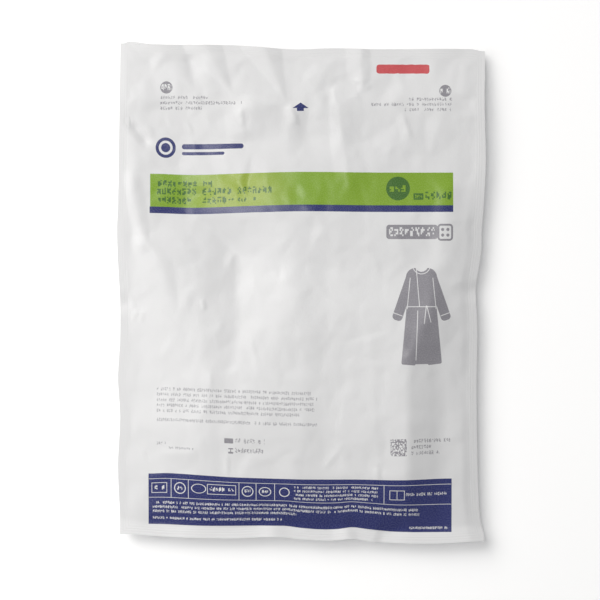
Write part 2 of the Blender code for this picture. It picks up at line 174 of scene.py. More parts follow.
# A cone fold opens from its tip (x0, y0) up to its mouth (x1, y1), and keeps that width and
# rise from there on.  Its feet lie "left" and "right" of its crest there; "roundness" is 1 for
# straight sides and 2 for a round crest.
Cone = namedtuple("Cone", "x0 y0 x1 y1 left right rise roundness")
HEADER_CONES = [            # in both films
    Cone(-0.0871, 0.1660, -0.1194, 0.2072, 0.0180, 0.0220, 0.0018, 1.5),
    Cone(-0.0556, 0.1608, -0.0813, 0.2072, 0.0160, 0.0157, 0.0020, 1.4),
    Cone(-0.0118, 0.1560, -0.0325, 0.2072, 0.0180, 0.0166, 0.0022, 1.4),
    Cone(0.0508, 0.1690, 0.0506, 0.1760, 0.0130, 0.0075, 0.0013, 1.2),
    Cone(0.1250, 0.1600, 0.1180, 0.2072, 0.0300, 0.0200, 0.0006, 2.0),
]

# The front film over the gown is drawn up between long creases, from left to right.  Each
# runs from the bottom to the top and rises above the seam.  The film bends at it over
# "softness" to either side.
Crease = namedtuple("Crease", "softness nodes")
Node = namedtuple("Node", "y x rise")

LEFT_FOOT = Crease(0.0050, [
    Node(-0.1510, -0.1350, 0.0006), Node(-0.0350, -0.1350, 0.0006),
    Node(0.0060, -0.1350, 0.0005), Node(0.0430, -0.1370, 0.0004), Node(0.0660, -0.1400, 0.0000),
    Node(0.1340, -0.1410, 0.0000),
])
LEFT_RIDGE = Crease(0.0035, [
    Node(-0.1510, -0.0871, 0.0060), Node(-0.1140, -0.0871, 0.0077),
    Node(-0.0735, -0.0854, 0.0080), Node(-0.0560, -0.0937, 0.0067),
    Node(-0.0350, -0.0987, 0.0056), Node(-0.0140, -0.1045, 0.0050),
    Node(0.0060, -0.1111, 0.0044), Node(0.0225, -0.1160, 0.0042), Node(0.0430, -0.1269, 0.0023),
    Node(0.0600, -0.1320, 0.0004), Node(0.1050, -0.1350, 0.0001), Node(0.1340, -0.1350, 0.0000),
])
VALLEY_RIM = Crease(0.0030, [
    Node(-0.1510, -0.0739, 0.0070), Node(-0.1140, -0.0755, 0.0091),
    Node(-0.0735, -0.0772, 0.0089), Node(-0.0560, -0.0805, 0.0078),
    Node(-0.0350, -0.0830, 0.0070), Node(-0.0140, -0.0838, 0.0046),
    Node(0.0060, -0.0772, 0.0031), Node(0.0225, -0.0879, 0.0026), Node(0.0430, -0.1004, 0.0006),
    Node(0.0600, -0.1153, -0.0003), Node(0.1050, -0.1186, -0.0008),
    Node(0.1340, -0.1169, -0.0004),
])
S_CREASE = Crease(0.0038, [
    Node(-0.1510, -0.0507, 0.0082), Node(-0.1140, -0.0523, 0.0103),
    Node(-0.0735, -0.0600, 0.0084), Node(-0.0560, -0.0560, 0.0065),
    Node(-0.0350, -0.0532, 0.0049), Node(-0.0140, -0.0523, 0.0025),
    Node(0.0060, -0.0523, -0.0004), Node(0.0225, -0.0523, -0.0019),
    Node(0.0310, -0.0540, -0.0027), Node(0.0430, -0.0639, -0.0031),
    Node(0.0560, -0.0797, -0.0026), Node(0.0660, -0.0937, -0.0021),
    Node(0.1050, -0.0979, -0.0018), Node(0.1340, -0.0962, -0.0010),
])
MIDDLE_CREST = Crease(0.0080, [
    Node(-0.1510, -0.0258, 0.0089), Node(-0.1140, -0.0275, 0.0104),
    Node(-0.0735, -0.0325, 0.0104), Node(-0.0560, -0.0275, 0.0095),
    Node(-0.0350, -0.0176, 0.0089), Node(-0.0140, -0.0109, 0.0080),
    Node(0.0060, -0.0093, 0.0060), Node(0.0225, -0.0093, 0.0043), Node(0.0430, -0.0109, 0.0041),
    Node(0.0600, -0.0180, 0.0036), Node(0.1050, -0.0424, 0.0020), Node(0.1340, -0.0500, 0.0008),
])
TROUGH_RIM = Crease(0.0040, [
    Node(-0.1510, 0.0023, 0.0101), Node(-0.1140, 0.0023, 0.0110), Node(-0.0735, 0.0023, 0.0102),
    Node(-0.0560, 0.0023, 0.0094), Node(-0.0350, 0.0023, 0.0088), Node(-0.0140, 0.0010, 0.0079),
    Node(0.0060, 0.0010, 0.0060), Node(0.0225, 0.0020, 0.0041), Node(0.0430, 0.0030, 0.0040),
    Node(0.0600, 0.0030, 0.0036), Node(0.1050, 0.0030, 0.0031), Node(0.1340, -0.0060, 0.0008),
])
MIDDLE_TROUGH = Crease(0.0040, [
    Node(-0.1510, 0.0206, 0.0092), Node(-0.1140, 0.0206, 0.0097), Node(-0.0735, 0.0206, 0.0089),
    Node(-0.0560, 0.0200, 0.0080), Node(-0.0350, 0.0200, 0.0074), Node(-0.0140, 0.0172, 0.0071),
    Node(0.0060, 0.0189, 0.0050), Node(0.0225, 0.0222, 0.0034), Node(0.0430, 0.0238, 0.0033),
    Node(0.0600, 0.0180, 0.0032), Node(0.1050, 0.0140, 0.0029), Node(0.1340, 0.0060, -0.0004),
])
RIGHT_CREST = Crease(0.0060, [
    Node(-0.1510, 0.0338, 0.0096), Node(-0.1140, 0.0338, 0.0100), Node(-0.0735, 0.0321, 0.0092),
    Node(-0.0560, 0.0321, 0.0084), Node(-0.0350, 0.0321, 0.0078), Node(-0.0140, 0.0321, 0.0073),
    Node(0.0060, 0.0338, 0.0054), Node(0.0225, 0.0350, 0.0038), Node(0.0430, 0.0370, 0.0037),
    Node(0.0600, 0.0370, 0.0035), Node(0.1050, 0.0238, 0.0029), Node(0.1340, 0.0288, 0.0005),
])
RIGHT_TROUGH = Crease(0.0060, [
    Node(-0.1510, 0.0537, 0.0101), Node(-0.1140, 0.0537, 0.0102), Node(-0.0735, 0.0553, 0.0090),
    Node(-0.0560, 0.0537, 0.0083), Node(-0.0350, 0.0503, 0.0078), Node(-0.0140, 0.0520, 0.0072),
    Node(0.0060, 0.0537, 0.0050), Node(0.0225, 0.0537, 0.0036), Node(0.0430, 0.0553, 0.0037),
    Node(0.0600, 0.0553, 0.0034), Node(0.1050, 0.0520, 0.0018), Node(0.1340, 0.0503, -0.0005),
])
THICK_PART_EDGE = Crease(0.0035, [
    Node(-0.1510, 0.0876, 0.0108), Node(-0.1140, 0.0884, 0.0112), Node(-0.0735, 0.0884, 0.0102),
    Node(-0.0560, 0.0901, 0.0096), Node(-0.0350, 0.0984, 0.0088), Node(-0.0140, 0.1066, 0.0077),
    Node(0.0060, 0.1083, 0.0053), Node(0.0225, 0.1050, 0.0034), Node(0.0430, 0.0984, 0.0029),
    Node(0.0600, 0.0917, 0.0032), Node(0.1050, 0.0917, 0.0005), Node(0.1340, 0.0884, 0.0002),
])
RIGHT_SHOULDER = Crease(0.0060, [
    Node(-0.1510, 0.1149, 0.0026), Node(-0.1140, 0.1149, 0.0020), Node(-0.0735, 0.1149, 0.0023),
    Node(-0.0560, 0.1149, 0.0032), Node(-0.0350, 0.1182, 0.0041), Node(-0.0140, 0.1232, 0.0026),
    Node(0.0060, 0.1249, 0.0022), Node(0.0225, 0.1180, 0.0028), Node(0.0430, 0.1182, 0.0025),
    Node(0.0660, 0.1182, 0.0024), Node(0.1050, 0.1249, 0.0007), Node(0.1340, 0.1250, 0.0002),
])
CREASES = [
    LEFT_FOOT, LEFT_RIDGE, VALLEY_RIM, S_CREASE, MIDDLE_CREST, TROUGH_RIM, MIDDLE_TROUGH,
    RIGHT_CREST, RIGHT_TROUGH, THICK_PART_EDGE, RIGHT_SHOULDER,
]
SEAL_SOFTNESS = 0.003       # of the bend beside each side seal

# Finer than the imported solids: a wrinkle is a fold with a sharp crest, highest at its
# middle.  It bends at the crest over WRINKLE_SOFTNESS to either side.
Wrinkle = namedtuple("Wrinkle", "x0 y0 x1 y1 left right rise")
WRINKLE_SOFTNESS = 0.0010

FRONT_WRINKLES = [
    # header
    Wrinkle(-0.002, 0.137, -0.010, 0.157, 0.0070, 0.0025, 0.00100),
    Wrinkle(-0.056, 0.162, -0.014, 0.153, 0.0040, 0.0180, 0.00110),
    Wrinkle(-0.046, 0.122, -0.052, 0.160, 0.0140, 0.0280, 0.00150),
    Wrinkle(-0.047, 0.136, -0.050, 0.154, 0.0060, 0.0015, 0.00050),
    Wrinkle(-0.087, 0.169, -0.095, 0.201, 0.0060, 0.0060, -0.00040),
    Wrinkle(-0.107, 0.136, -0.112, 0.149, 0.0030, 0.0030, 0.00025),
    Wrinkle(-0.090, 0.130, -0.096, 0.144, 0.0030, 0.0020, 0.00035),
    Wrinkle(0.043, 0.176, 0.055, 0.172, 0.0030, 0.0040, 0.00050),
    Wrinkle(0.030, 0.153, 0.026, 0.171, 0.0040, 0.0025, 0.00050),
    Wrinkle(0.033, 0.112, 0.031, 0.172, 0.0090, 0.0110, 0.00085),
    Wrinkle(0.041, 0.078, 0.032, 0.146, 0.0110, 0.0160, 0.00100),
    Wrinkle(0.046, 0.169, 0.058, 0.171, 0.0030, 0.0050, 0.00060),
    Wrinkle(0.091, 0.125, 0.083, 0.150, 0.0070, 0.0030, 0.00080),
    Wrinkle(0.129, 0.148, 0.149, 0.143, 0.0050, 0.0050, 0.00035),
    Wrinkle(-0.122, 0.128, -0.129, 0.140, 0.0040, 0.0030, 0.00035),
    Wrinkle(-0.124, 0.121, -0.142, 0.142, 0.0065, 0.0040, -0.00110),
    # left side
    Wrinkle(-0.143, 0.116, -0.144, 0.136, 0.0030, 0.0030, 0.00030),
    Wrinkle(-0.141, 0.067, -0.143, 0.091, 0.0030, 0.0040, 0.00010),
    Wrinkle(-0.142, 0.047, -0.143, 0.057, 0.0020, 0.0020, 0.00035),
    Wrinkle(-0.125, 0.041, -0.127, 0.052, 0.0020, 0.0030, -0.00040),
    Wrinkle(-0.138, -0.015, -0.143, 0.002, 0.0050, 0.0025, 0.00050),
    Wrinkle(-0.143, 0.000, -0.145, 0.020, 0.0050, 0.0025, 0.00045),
    Wrinkle(-0.141, -0.026, -0.135, -0.013, 0.0025, 0.0025, 0.00040),
    Wrinkle(-0.133, -0.026, -0.131, -0.014, 0.0025, 0.0025, 0.00030),
    # over the gown
    Wrinkle(-0.060, 0.019, -0.056, 0.034, 0.0060, 0.0040, 0.00060),
    Wrinkle(-0.080, -0.016, -0.082, -0.005, 0.0020, 0.0025, 0.00075),
    Wrinkle(-0.035, -0.062, -0.042, -0.038, 0.0050, 0.0025, 0.00045),
    Wrinkle(-0.119, -0.075, -0.114, -0.067, 0.0025, 0.0025, 0.00025),
    Wrinkle(-0.074, -0.080, -0.075, -0.065, 0.0030, 0.0020, 0.00035),
    # above the bottom seal
    Wrinkle(-0.125, -0.141, -0.129, -0.131, 0.0025, 0.0025, -0.00040),
    Wrinkle(-0.126, -0.135, -0.080, -0.132, 0.0060, 0.0140, 0.00050),
    Wrinkle(-0.061, -0.155, -0.061, -0.130, 0.0035, 0.0025, 0.00045),
    Wrinkle(-0.080, -0.148, -0.083, -0.113, 0.0040, 0.0040, 0.00025),
    Wrinkle(0.051, -0.136, 0.018, -0.111, 0.0040, 0.0040, -0.00035),
    Wrinkle(0.017, -0.148, 0.037, -0.122, 0.0040, 0.0040, 0.00025),
    Wrinkle(0.064, -0.157, 0.062, -0.143, 0.0045, 0.0025, 0.00050),
    Wrinkle(0.070, -0.149, 0.062, -0.142, 0.0030, 0.0030, -0.00030),
    Wrinkle(0.045, -0.155, 0.043, -0.146, 0.0020, 0.0020, 0.00020),
]
BACK_WRINKLES = [           # raised from the surface that the pouch lies on
    Wrinkle(-0.060, -0.150, -0.020, -0.020, 0.0060, 0.0040, 0.00045),
    Wrinkle(0.020, -0.130, 0.034, 0.060, 0.0050, 0.0070, 0.00050),
    Wrinkle(-0.110, 0.020, -0.050, 0.120, 0.0040, 0.0060, 0.00040),
    Wrinkle(0.080, -0.060, 0.060, 0.110, 0.0060, 0.0050, 0.00045),
    Wrinkle(-0.030, 0.040, 0.000, 0.150, 0.0040, 0.0050, 0.00035),
    Wrinkle(0.050, -0.165, 0.110, -0.090, 0.0050, 0.0050, 0.00040),
]

# Small flat facets between scattered points, where the film was handled
Facets = namedtuple("Facets", "across along height seed")
FRONT_FACETS = [Facets(0.016, 0.020, 0.00055, 11), Facets(0.007, 0.009, 0.00020, 12)]
BACK_FACETS = [Facets(0.015, 0.024, 0.00025, 23)]
FACET_SCATTER = 0.45        # how far their corners stray, as a share of their spacing
HEADER_CRUMPLE = 0.4        # how much higher the front film's facets are in the header

# The film sags out of its straight lines: how much the print lies above its own line at
# places across the pouch, for a few lines of print from the bottom up
PrintLine = namedtuple("PrintLine", "y shifts")
Shift = namedtuple("Shift", "x rise")
PRINT_LINES = [
    PrintLine(-0.1925, [
        Shift(-0.127, 0.0011), Shift(-0.080, -0.0004), Shift(-0.015, -0.0004),
        Shift(0.000, -0.0022), Shift(0.017, -0.0034), Shift(0.030, -0.0031),
        Shift(0.042, -0.0016), Shift(0.055, -0.0031), Shift(0.080, -0.0054),
        Shift(0.126, -0.0055),
    ]),
    PrintLine(-0.1500, [
        Shift(-0.127, 0.0000), Shift(-0.110, 0.0004), Shift(-0.061, -0.0026),
        Shift(-0.035, -0.0036), Shift(0.000, -0.0045), Shift(0.050, -0.0046),
        Shift(0.080, -0.0050), Shift(0.125, -0.0040),
    ]),
    PrintLine(-0.0900, [
        Shift(-0.120, 0.0000), Shift(-0.060, -0.0018), Shift(0.000, -0.0037),
        Shift(0.060, -0.0036), Shift(0.126, -0.0020),
    ]),
    PrintLine(0.0000, [Shift(-0.120, 0.0), Shift(0.120, 0.0)]),
    PrintLine(0.0850, [
        Shift(-0.126, -0.0003), Shift(-0.088, -0.0014), Shift(-0.040, 0.0002),
        Shift(0.000, 0.0012), Shift(0.060, 0.0006), Shift(0.126, 0.0006),
    ]),
    PrintLine(0.1600, [Shift(-0.120, 0.0), Shift(0.120, 0.0)]),
]
PRINT_DRAW_IN = 0.993       # the film's waves take up the rest of the print's width

# The print, in metres from the middle of the flat film
Bar = namedtuple("Bar", "left right low high corner")
Disc = namedtuple("Disc", "x y radius")
Ring = namedtuple("Ring", "x y radius_x radius_y line")
Frame = namedtuple("Frame", "bar line")             # the line round a bar
TextBlock = namedtuple("TextBlock", "top line letter rows")     # lines of make-believe text
Row = namedtuple("Row", "left right")

GREEN_BAND = [Bar(-0.1259, 0.1265, 0.0717, 0.0990, 0.0)]
NAVY_STRIPE = [Bar(-0.1264, 0.1265, 0.0662, 0.0717, 0.0)]
BAND_TEXT = [
    TextBlock(0.0940, 0.0086, 0.0042, [Row(-0.1195, -0.0681)]),
    TextBlock(0.0878, 0.0092, 0.0042, [Row(-0.1202, -0.0242)]),
    TextBlock(0.0803, 0.0092, 0.0042, [Row(-0.1202, -0.0623)]),
    TextBlock(0.0790, 0.0056, 0.0026, [Row(-0.0606, -0.0374)]),
    TextBlock(0.0830, 0.0104, 0.0046, [Row(0.1033, 0.1250)]),
]
BAND_DISC = Disc(0.0806, 0.0857, 0.0099)
BAND_DISC_TEXT = [TextBlock(0.0884, 0.0086, 0.0048, [Row(0.0736, 0.0878)])]
BAND_BOX = [Bar(0.0934, 0.1017, 0.0763, 0.0817, 0.0006)]
BAND_BOX_TEXT = [TextBlock(0.0806, 0.0050, 0.0018, [Row(0.0945, 0.1006)])]

EMBLEM_DISC = Disc(-0.1130, 0.1208, 0.0084)
EMBLEM_RING = Ring(-0.1130, 0.1208, 0.0048, 0.0048, 0.0010)
NAME_BARS = [
    Bar(-0.0995, -0.0480, 0.1198, 0.1240, 0.0021),
    Bar(-0.0995, -0.0640, 0.1150, 0.1176, 0.0013),
]
ARROW_STEM = [Bar(-0.0036, 0.0022, 0.1509, 0.1550, 0.0)]
ARROW_TIP = Disc(-0.0005, 0.1580, 0.0067)           # apex, and half its width
ARROW_HEAD_LENGTH = 0.0046

HEADER_DISCS = [Disc(-0.1124, 0.1707, 0.0051), Disc(0.1201, 0.1677, 0.0050)]
HEADER_DISC_TEXT = [
    TextBlock(0.1735, 0.0080, 0.0026, [Row(-0.1166, -0.1083)]),
    TextBlock(0.1705, 0.0080, 0.0026, [Row(0.1159, 0.1242)]),
]
HEADER_TEXT = [
    TextBlock(0.1637, 0.0045, 0.0021, [
        Row(-0.1174, -0.0774), Row(-0.1174, -0.0495), Row(-0.1174, -0.0828),
    ]),
    TextBlock(0.1620, 0.0043, 0.0021, [
        Row(0.0894, 0.1258), Row(0.0585, 0.1258), Row(0.0862, 0.1258),
    ]),
]
BADGE = [Bar(0.0708, 0.1136, 0.0438, 0.0556, 0.0024)]
BADGE_TEXT = [TextBlock(0.0536, 0.0118, 0.0044, [Row(0.0730, 0.1110)])]
BADGE_CELL = Bar(0.1141, 0.1255, 0.0432, 0.0556, 0.0022)
BADGE_CELL_LINE = 0.0008
BADGE_PIPS = [
    Disc(0.1176, 0.0517, 0.0013), Disc(0.1220, 0.0517, 0.0013),
    Disc(0.1176, 0.0471, 0.0013), Disc(0.1220, 0.0471, 0.0013),
]
PARAGRAPH = [
    TextBlock(-0.0790, 0.0045, 0.0017, [
        Row(-0.1202, 0.0080), Row(-0.1202, 0.0131), Row(-0.1202, 0.0115),
        Row(-0.1202, 0.0110), Row(-0.1202, -0.0010),
    ]),
    TextBlock(-0.1046, 0.0045, 0.0017, [Row(-0.1202, 0.0131)]),
    TextBlock(-0.1285, 0.0036, 0.0014, [Row(-0.1103, -0.0871)]),
    TextBlock(-0.1245, 0.0040, 0.0017, [Row(-0.1220, -0.1128)]),
]
CODE_TEXT = [
    TextBlock(-0.1188, 0.0064, 0.0024, [Row(-0.0548, -0.0304)]),
    TextBlock(-0.1266, 0.0064, 0.0024, [Row(-0.0548, -0.0316)]),
    TextBlock(-0.1182, 0.0048, 0.0021, [
        Row(0.0914, 0.1240), Row(0.0914, 0.1083), Row(0.0914, 0.1149),
    ]),
]
CODE_BOXES = [
    Bar(-0.0639, -0.0565, -0.1232, -0.1191, 0.0004),
    Bar(-0.0606, -0.0565, -0.1315, -0.1300, 0.0002),
    Bar(-0.0606, -0.0565, -0.1280, -0.1270, 0.0002),
    Bar(-0.0589, -0.0582, -0.1315, -0.1270, 0.0002),
]
CODE_SQUARE = Bar(0.0740, 0.0875, -0.1314, -0.1179, 0.0)
CODE_MODULES = 18

NAVY_BLOCK = [Bar(-0.1272, 0.1252, -0.1942, -0.1510, 0.0)]
RULE = 0.0005
BLOCK_RULES = [
    Bar(-0.1268, 0.1249, -0.1557, -0.1553, 0.0),
    Bar(-0.1268, 0.1249, -0.1716, -0.1712, 0.0),
]
BLOCK_DIVIDERS = (-0.1083, -0.0939, -0.0517, -0.0375, -0.0221, 0.0687)
BLOCK_FRAMES = [
    Bar(-0.1244, -0.1119, -0.1673, -0.1590, 0.0),
    Bar(-0.0780, -0.0544, -0.1667, -0.1583, 0.0),
    Bar(0.0735, 0.0795, -0.1673, -0.1598, 0.0),
    Bar(0.0795, 0.0856, -0.1673, -0.1598, 0.0),
]
BLOCK_RINGS = [
    Ring(-0.1009, -0.1630, 0.0045, 0.0045, 0.0004),
    Ring(-0.0853, -0.1625, 0.0059, 0.0038, 0.0004),
    Ring(-0.0446, -0.1632, 0.0045, 0.0045, 0.0004),
    Ring(-0.0301, -0.1632, 0.0048, 0.0040, 0.0004),
    Ring(-0.0140, -0.1632, 0.0040, 0.0040, 0.0004),
]
BLOCK_TEXT = [
    TextBlock(-0.1612, 0.0058, 0.0030, [Row(-0.1220, -0.1140)]),
    TextBlock(-0.1613, 0.0050, 0.0024, [Row(-0.1032, -0.0986)]),
    TextBlock(-0.1603, 0.0062, 0.0026, [Row(-0.0762, -0.0560)]),
    TextBlock(-0.1613, 0.0050, 0.0022, [Row(-0.0470, -0.0422)]),
    TextBlock(-0.1613, 0.0050, 0.0022, [Row(-0.0326, -0.0276)]),
    TextBlock(-0.1572, 0.0034, 0.0014, [
        Row(-0.0060, 0.0640), Row(-0.0060, 0.0632), Row(-0.0060, 0.0636), Row(-0.0060, 0.0590),
    ]),
    TextBlock(-0.1616, 0.0040, 0.0015, [Row(0.0868, 0.1216)]),
    TextBlock(-0.1745, 0.0037, 0.0014, [
        Row(-0.1236, 0.0970), Row(-0.1236, 0.0980), Row(-0.1236, -0.0040),
    ]),
    TextBlock(-0.1876, 0.0037, 0.0014, [Row(-0.1236, -0.0160)]),
    TextBlock(-0.1894, 0.0037, 0.0014, [Row(0.0900, 0.1216)]),
]

INDICATOR = Bar(0.0626, 0.1070, 0.1822, 0.1898, 0.0022)     # turns colour when sterilised
INDICATOR_WOBBLE = 0.0006

# A plain garment sign: body, sleeves and hem as bars with round corners
Limb = namedtuple("Limb", "x y half_width half_length corner lean")
GARMENT_BODY = [
    Limb(0.1000, 0.0060, 0.0130, 0.0140, 0.0080, 0.00),
    Limb(0.1000, -0.0200, 0.0115, 0.0380, 0.0020, 0.00),
    Limb(0.0915, -0.0330, 0.0060, 0.0255, 0.0015, 0.10),
    Limb(0.1085, -0.0330, 0.0060, 0.0255, 0.0015, -0.10),
    Limb(0.0856, -0.0040, 0.0042, 0.0200, 0.0030, 0.34),
    Limb(0.1144, -0.0040, 0.0042, 0.0200, 0.0030, -0.34),
]
GARMENT_LINES = [
    Disc(0.1000, 0.0225, 0.0056),
    Ring(0.1000, 0.0225, 0.0074, 0.0074, 0.0003),
    Limb(0.1000, -0.0120, 0.0116, 0.0003, 0.0002, 0.00),
    Limb(0.1060, -0.0180, 0.0003, 0.0070, 0.0002, -0.25),
    Limb(0.1030, -0.0185, 0.0003, 0.0075, 0.0002, 0.12),
    Limb(0.0893, -0.0010, 0.0003, 0.0130, 0.0002, 0.10),
    Limb(0.1107, -0.0010, 0.0003, 0.0130, 0.0002, -0.10),
    Limb(0.0798, -0.0180, 0.0046, 0.0003, 0.0002, 0.34),
    Limb(0.1202, -0.0180, 0.0046, 0.0003, 0.0002, -0.34),
    Limb(0.0968, 0.0060, 0.0003, 0.0180, 0.0002, -0.08),
    Limb(0.0960, -0.0350, 0.0003, 0.0200, 0.0002, 0.04),
]

# Painted highlight: over an oval the band's inks are paler, a sheen painted into their colour where
# the glossy ink faces the light
PAINTED_SHEEN_OVAL = Ring(-0.0520, 0.0830, 0.0520, 0.0420, 0.0)
PAINTED_SHEEN_CORE = 0.35        # share of the oval's reach where the painted sheen is full
PAINTED_SHEEN_SHARE = 0.10       # of the film under the navy that shows through there, as painted sheen
PRINT_BLUR = 0.00008        # how far the inks' edges wander
PRINT_GRAIN = 0.0004        # and over what length
FILM_TEXT_COVER = 0.80      # how dark the small print is, as a share of the grey
FINE_TEXT_COVER = 0.72      # and the finest

# Make-believe text: random cells of a grid are inked
TEXT_COLUMNS = 4.0          # to a letter
BLANK_COLUMNS = 1.0         # of them, at its right
TEXT_ROWS = 8.0             # to a line
BLANK_ROWS = 3.0            # of them, at its foot
BODY_ROW = 2.0              # middle of the rows that hold most of the ink
BODY_REACH = 1.1
MARK_LEVELS = (0.62, 0.30)  # the random value that a cell needs, outside the body and in it
WORD_GAPS = 0.14            # share of letters that are left out
WORD_SEED = 7.0
BLOCK_SEED = 17.0           # between the seeds of one block of text and the next
TEXT_DEPTH = 0.7            # of a line that its area takes up
CODE_LIGHT_SHARE = 0.46     # of the square code's cells that stay light

# Fine unevenness, in waves to a metre, and its heights in metres
FILM_CLOUDS = 26.0
FILM_TINTS = (0.985, 1.012)
FILM_WAVES = 210.0
FILM_WAVE_HEIGHT = 0.00005
FILM_GRAIN = 900.0
FILM_GRAIN_HEIGHT = 0.000010
FILM_IOR = 1.5
ROUGHNESS_SPREAD = 0.04     # the film is rougher and smoother than its setting by this
INK_GLOSS = 0.19            # how much smoother the film is where it is printed
INK_MOTTLE = 420.0
INDICATOR_WAVES = 330.0
INDICATOR_GRAIN = 1500.0
FIBRES = 2600.0
FIBRE_STRETCH = (1.0, 0.12, 1.0)
FIBRE_HEIGHT = 0.00008
BONDED_DOTS = 620.0
DOT_DEPTH = 0.00010
CLOTH_TINTS = (0.78, 1.25)
PAPER_CLOUDS = 3.0

# The folded gown
GOWN_EDGE = 0.012           # from the seal or the header to the side of the folded gown
GOWN_FOOT = 0.022           # from the bottom seal to its lower side
GOWN_CORNER = 0.018
GOWN_CLEARANCE = 0.0015     # below the lowest of the front film nearby
GOWN_SPANS = (0.010, 0.020) # the front film bridges hollows of the gown this far across
GOWN_SEAT = 0.0006          # above the back film, where that is flat
GOWN_LIFT = 0.0030          # more above it, in full, where that has risen to the seam
GOWN_LEAST = 0.0030         # least thickness, at its side
GOWN_LAYERS = 8
LAYER_BULGE = 0.0008
LAYER_SHARES = (0.08, 0.28, 0.50, 0.72, 0.92)
CORNER_STEPS = 8
SIDE_STEPS = 34
TOP_INSETS = tuple(0.002 + 0.0045 * step for step in range(24))
UNDERSIDE_INSET = 0.013
GOWN_RIPPLE = 0.00035       # height of the soft waves in its top layer
RIPPLES = 95.0              # radians to a metre across the gown
RIPPLE_SWAY = 9.0           # radians that they wander
SWAYS = 14.0                # and that in radians to a metre along it
LEAST_CORNER = 0.004        # radius of the innermost rings
FOOT_SECTIONS = ((UNDERSIDE_INSET, 0.0), (0.006, 0.0), (0.002, 0.0))
LAYER_INSET = 0.0006        # of a layer's side, before its bulge

# Stage and camera
FRAMED = 0.4968             # width of what the camera frames at the height of the rim
RIM_HEIGHT = 0.009
FRAME_CENTRE = (-0.0010, -0.0065)
SENSOR = 36.0               # width of the camera's sensor, in millimetres
LampPlace = namedtuple("LampPlace", "azimuth elevation distance size")    # azimuth from +X
KEY_LIGHT = LampPlace(math.radians(133.0), math.radians(39.0), 7.0, 5.6)
SIDE_LIGHT = LampPlace(math.radians(176.0), math.radians(40.0), 0.75, 0.5)
HIGH_LIGHT = LampPlace(math.radians(163.0), math.radians(79.0), 3.0, 0.5)
LAMP_COLOUR = (1.0, 0.985, 0.965)
WALL_COLOUR = (0.975, 0.985, 1.0, 1.0)
WALL_BAND = (0.02, 0.22)    # over these heights of the sky the walls' brightness changes
CLIP_RANGE = (0.01, 50.0)


def clamp(value):
    """Keep shares between 0 and 1."""
    return np.clip(value, 0.0, 1.0)


def eased(share):
    """Soft start and soft end."""
    share = clamp(share)
    return share * share * (3.0 - 2.0 * share)


def shouldered(share):
    """Steep start and soft end, as film drawn over an edge."""
    return np.sin(0.5 * math.pi * clamp(share))


def curve_value(places, values, at):
    """Values on the smooth curve through some nodes, level at its ends."""
    places = np.asarray(places, float)
    values = np.asarray(values, float)
    at = np.clip(at, places[0], places[-1])
    k = np.clip(np.searchsorted(places, at, side="right") - 1, 0, len(places) - 2)
    slopes = np.zeros(len(places))
    slopes[1:-1] = (values[2:] - values[:-2]) / (places[2:] - places[:-2])
    step = places[k + 1] - places[k]
    share = (at - places[k]) / step
    rest = 1.0 - share
    return (
        values[k] * (1.0 + 2.0 * share) * rest * rest
        + values[k + 1] * (3.0 - 2.0 * share) * share * share
        + step * slopes[k] * share * rest * rest
        - step * slopes[k + 1] * rest * share * share
    )


def edge_inset(edge, along):
    """Inset of an edge at places along it."""
    return curve_value([point.along for point in edge], [point.inset for point in edge], along)


def pouch_points(u, v):
    """Places of grid points, with u across from the left and v along from the bottom."""
    along = (v - 0.5) * POUCH_LENGTH
    across = (u - 0.5) * POUCH_WIDTH
    left = -0.5 * POUCH_WIDTH + edge_inset(LEFT_EDGE, along)
    right = 0.5 * POUCH_WIDTH - edge_inset(RIGHT_EDGE, along)
    bottom = -0.5 * POUCH_LENGTH + edge_inset(BOTTOM_EDGE, across)
    top = 0.5 * POUCH_LENGTH - edge_inset(TOP_EDGE, across)
    return left + u * (right - left), bottom + v * (top - bottom)


def rim_distances(x, y):
    """Distances inside the left, right, bottom and top edges."""
    left = x + 0.5 * POUCH_WIDTH - edge_inset(LEFT_EDGE, y)
    right = 0.5 * POUCH_WIDTH - edge_inset(RIGHT_EDGE, y) - x
    bottom = y + 0.5 * POUCH_LENGTH - edge_inset(BOTTOM_EDGE, x)
    top = 0.5 * POUCH_LENGTH - edge_inset(TOP_EDGE, x) - y
    return left, right, bottom, top


def beside_line(line, x, y):
    """Distances along and across a line (to its right), and its length."""
    run_x = line.x1 - line.x0
    run_y = line.y1 - line.y0
    length = math.hypot(run_x, run_y)
    along = ((x - line.x0) * run_x + (y - line.y0) * run_y) / length
    across = ((x - line.x0) * run_y - (y - line.y0) * run_x) / length
    return along, across, length


def folds_height(folds, x, y):
    """Height that a group of soft folds adds."""
    height = np.zeros_like(x)
    for fold in folds:
        along, across, length = beside_line(fold, x, y)
        reach = np.where(across > 0.0, fold.right, fold.left)
        rise = fold.rise0 + (fold.rise1 - fold.rise0) * clamp(along / length)
        ends = eased(along / FOLD_END) * eased((length - along) / FOLD_END)
        height += rise * ends * eased(1.0 - np.abs(across) / reach)
    return height


def cones_height(cones, x, y):
    """Height that a group of cone folds adds."""
    height = np.zeros_like(x)
    for cone in cones:
        along, across, length = beside_line(cone, x, y)
        share = clamp(along / length)
        reach = np.where(across > 0.0, cone.right, cone.left) * share
        aside = np.minimum(1.0, np.abs(across) / np.maximum(reach, 1e-6))
        height += cone.rise * share * (1.0 - aside ** cone.roundness)
    return height


def soft_ramp(distance, softness):
    """Nothing before a crease and the distance past it, eased over the crease's softness."""
    bend = (distance + softness) ** 2 / (4.0 * softness)
    return np.where(distance <= -softness, 0.0, np.where(distance >= softness, distance, bend))


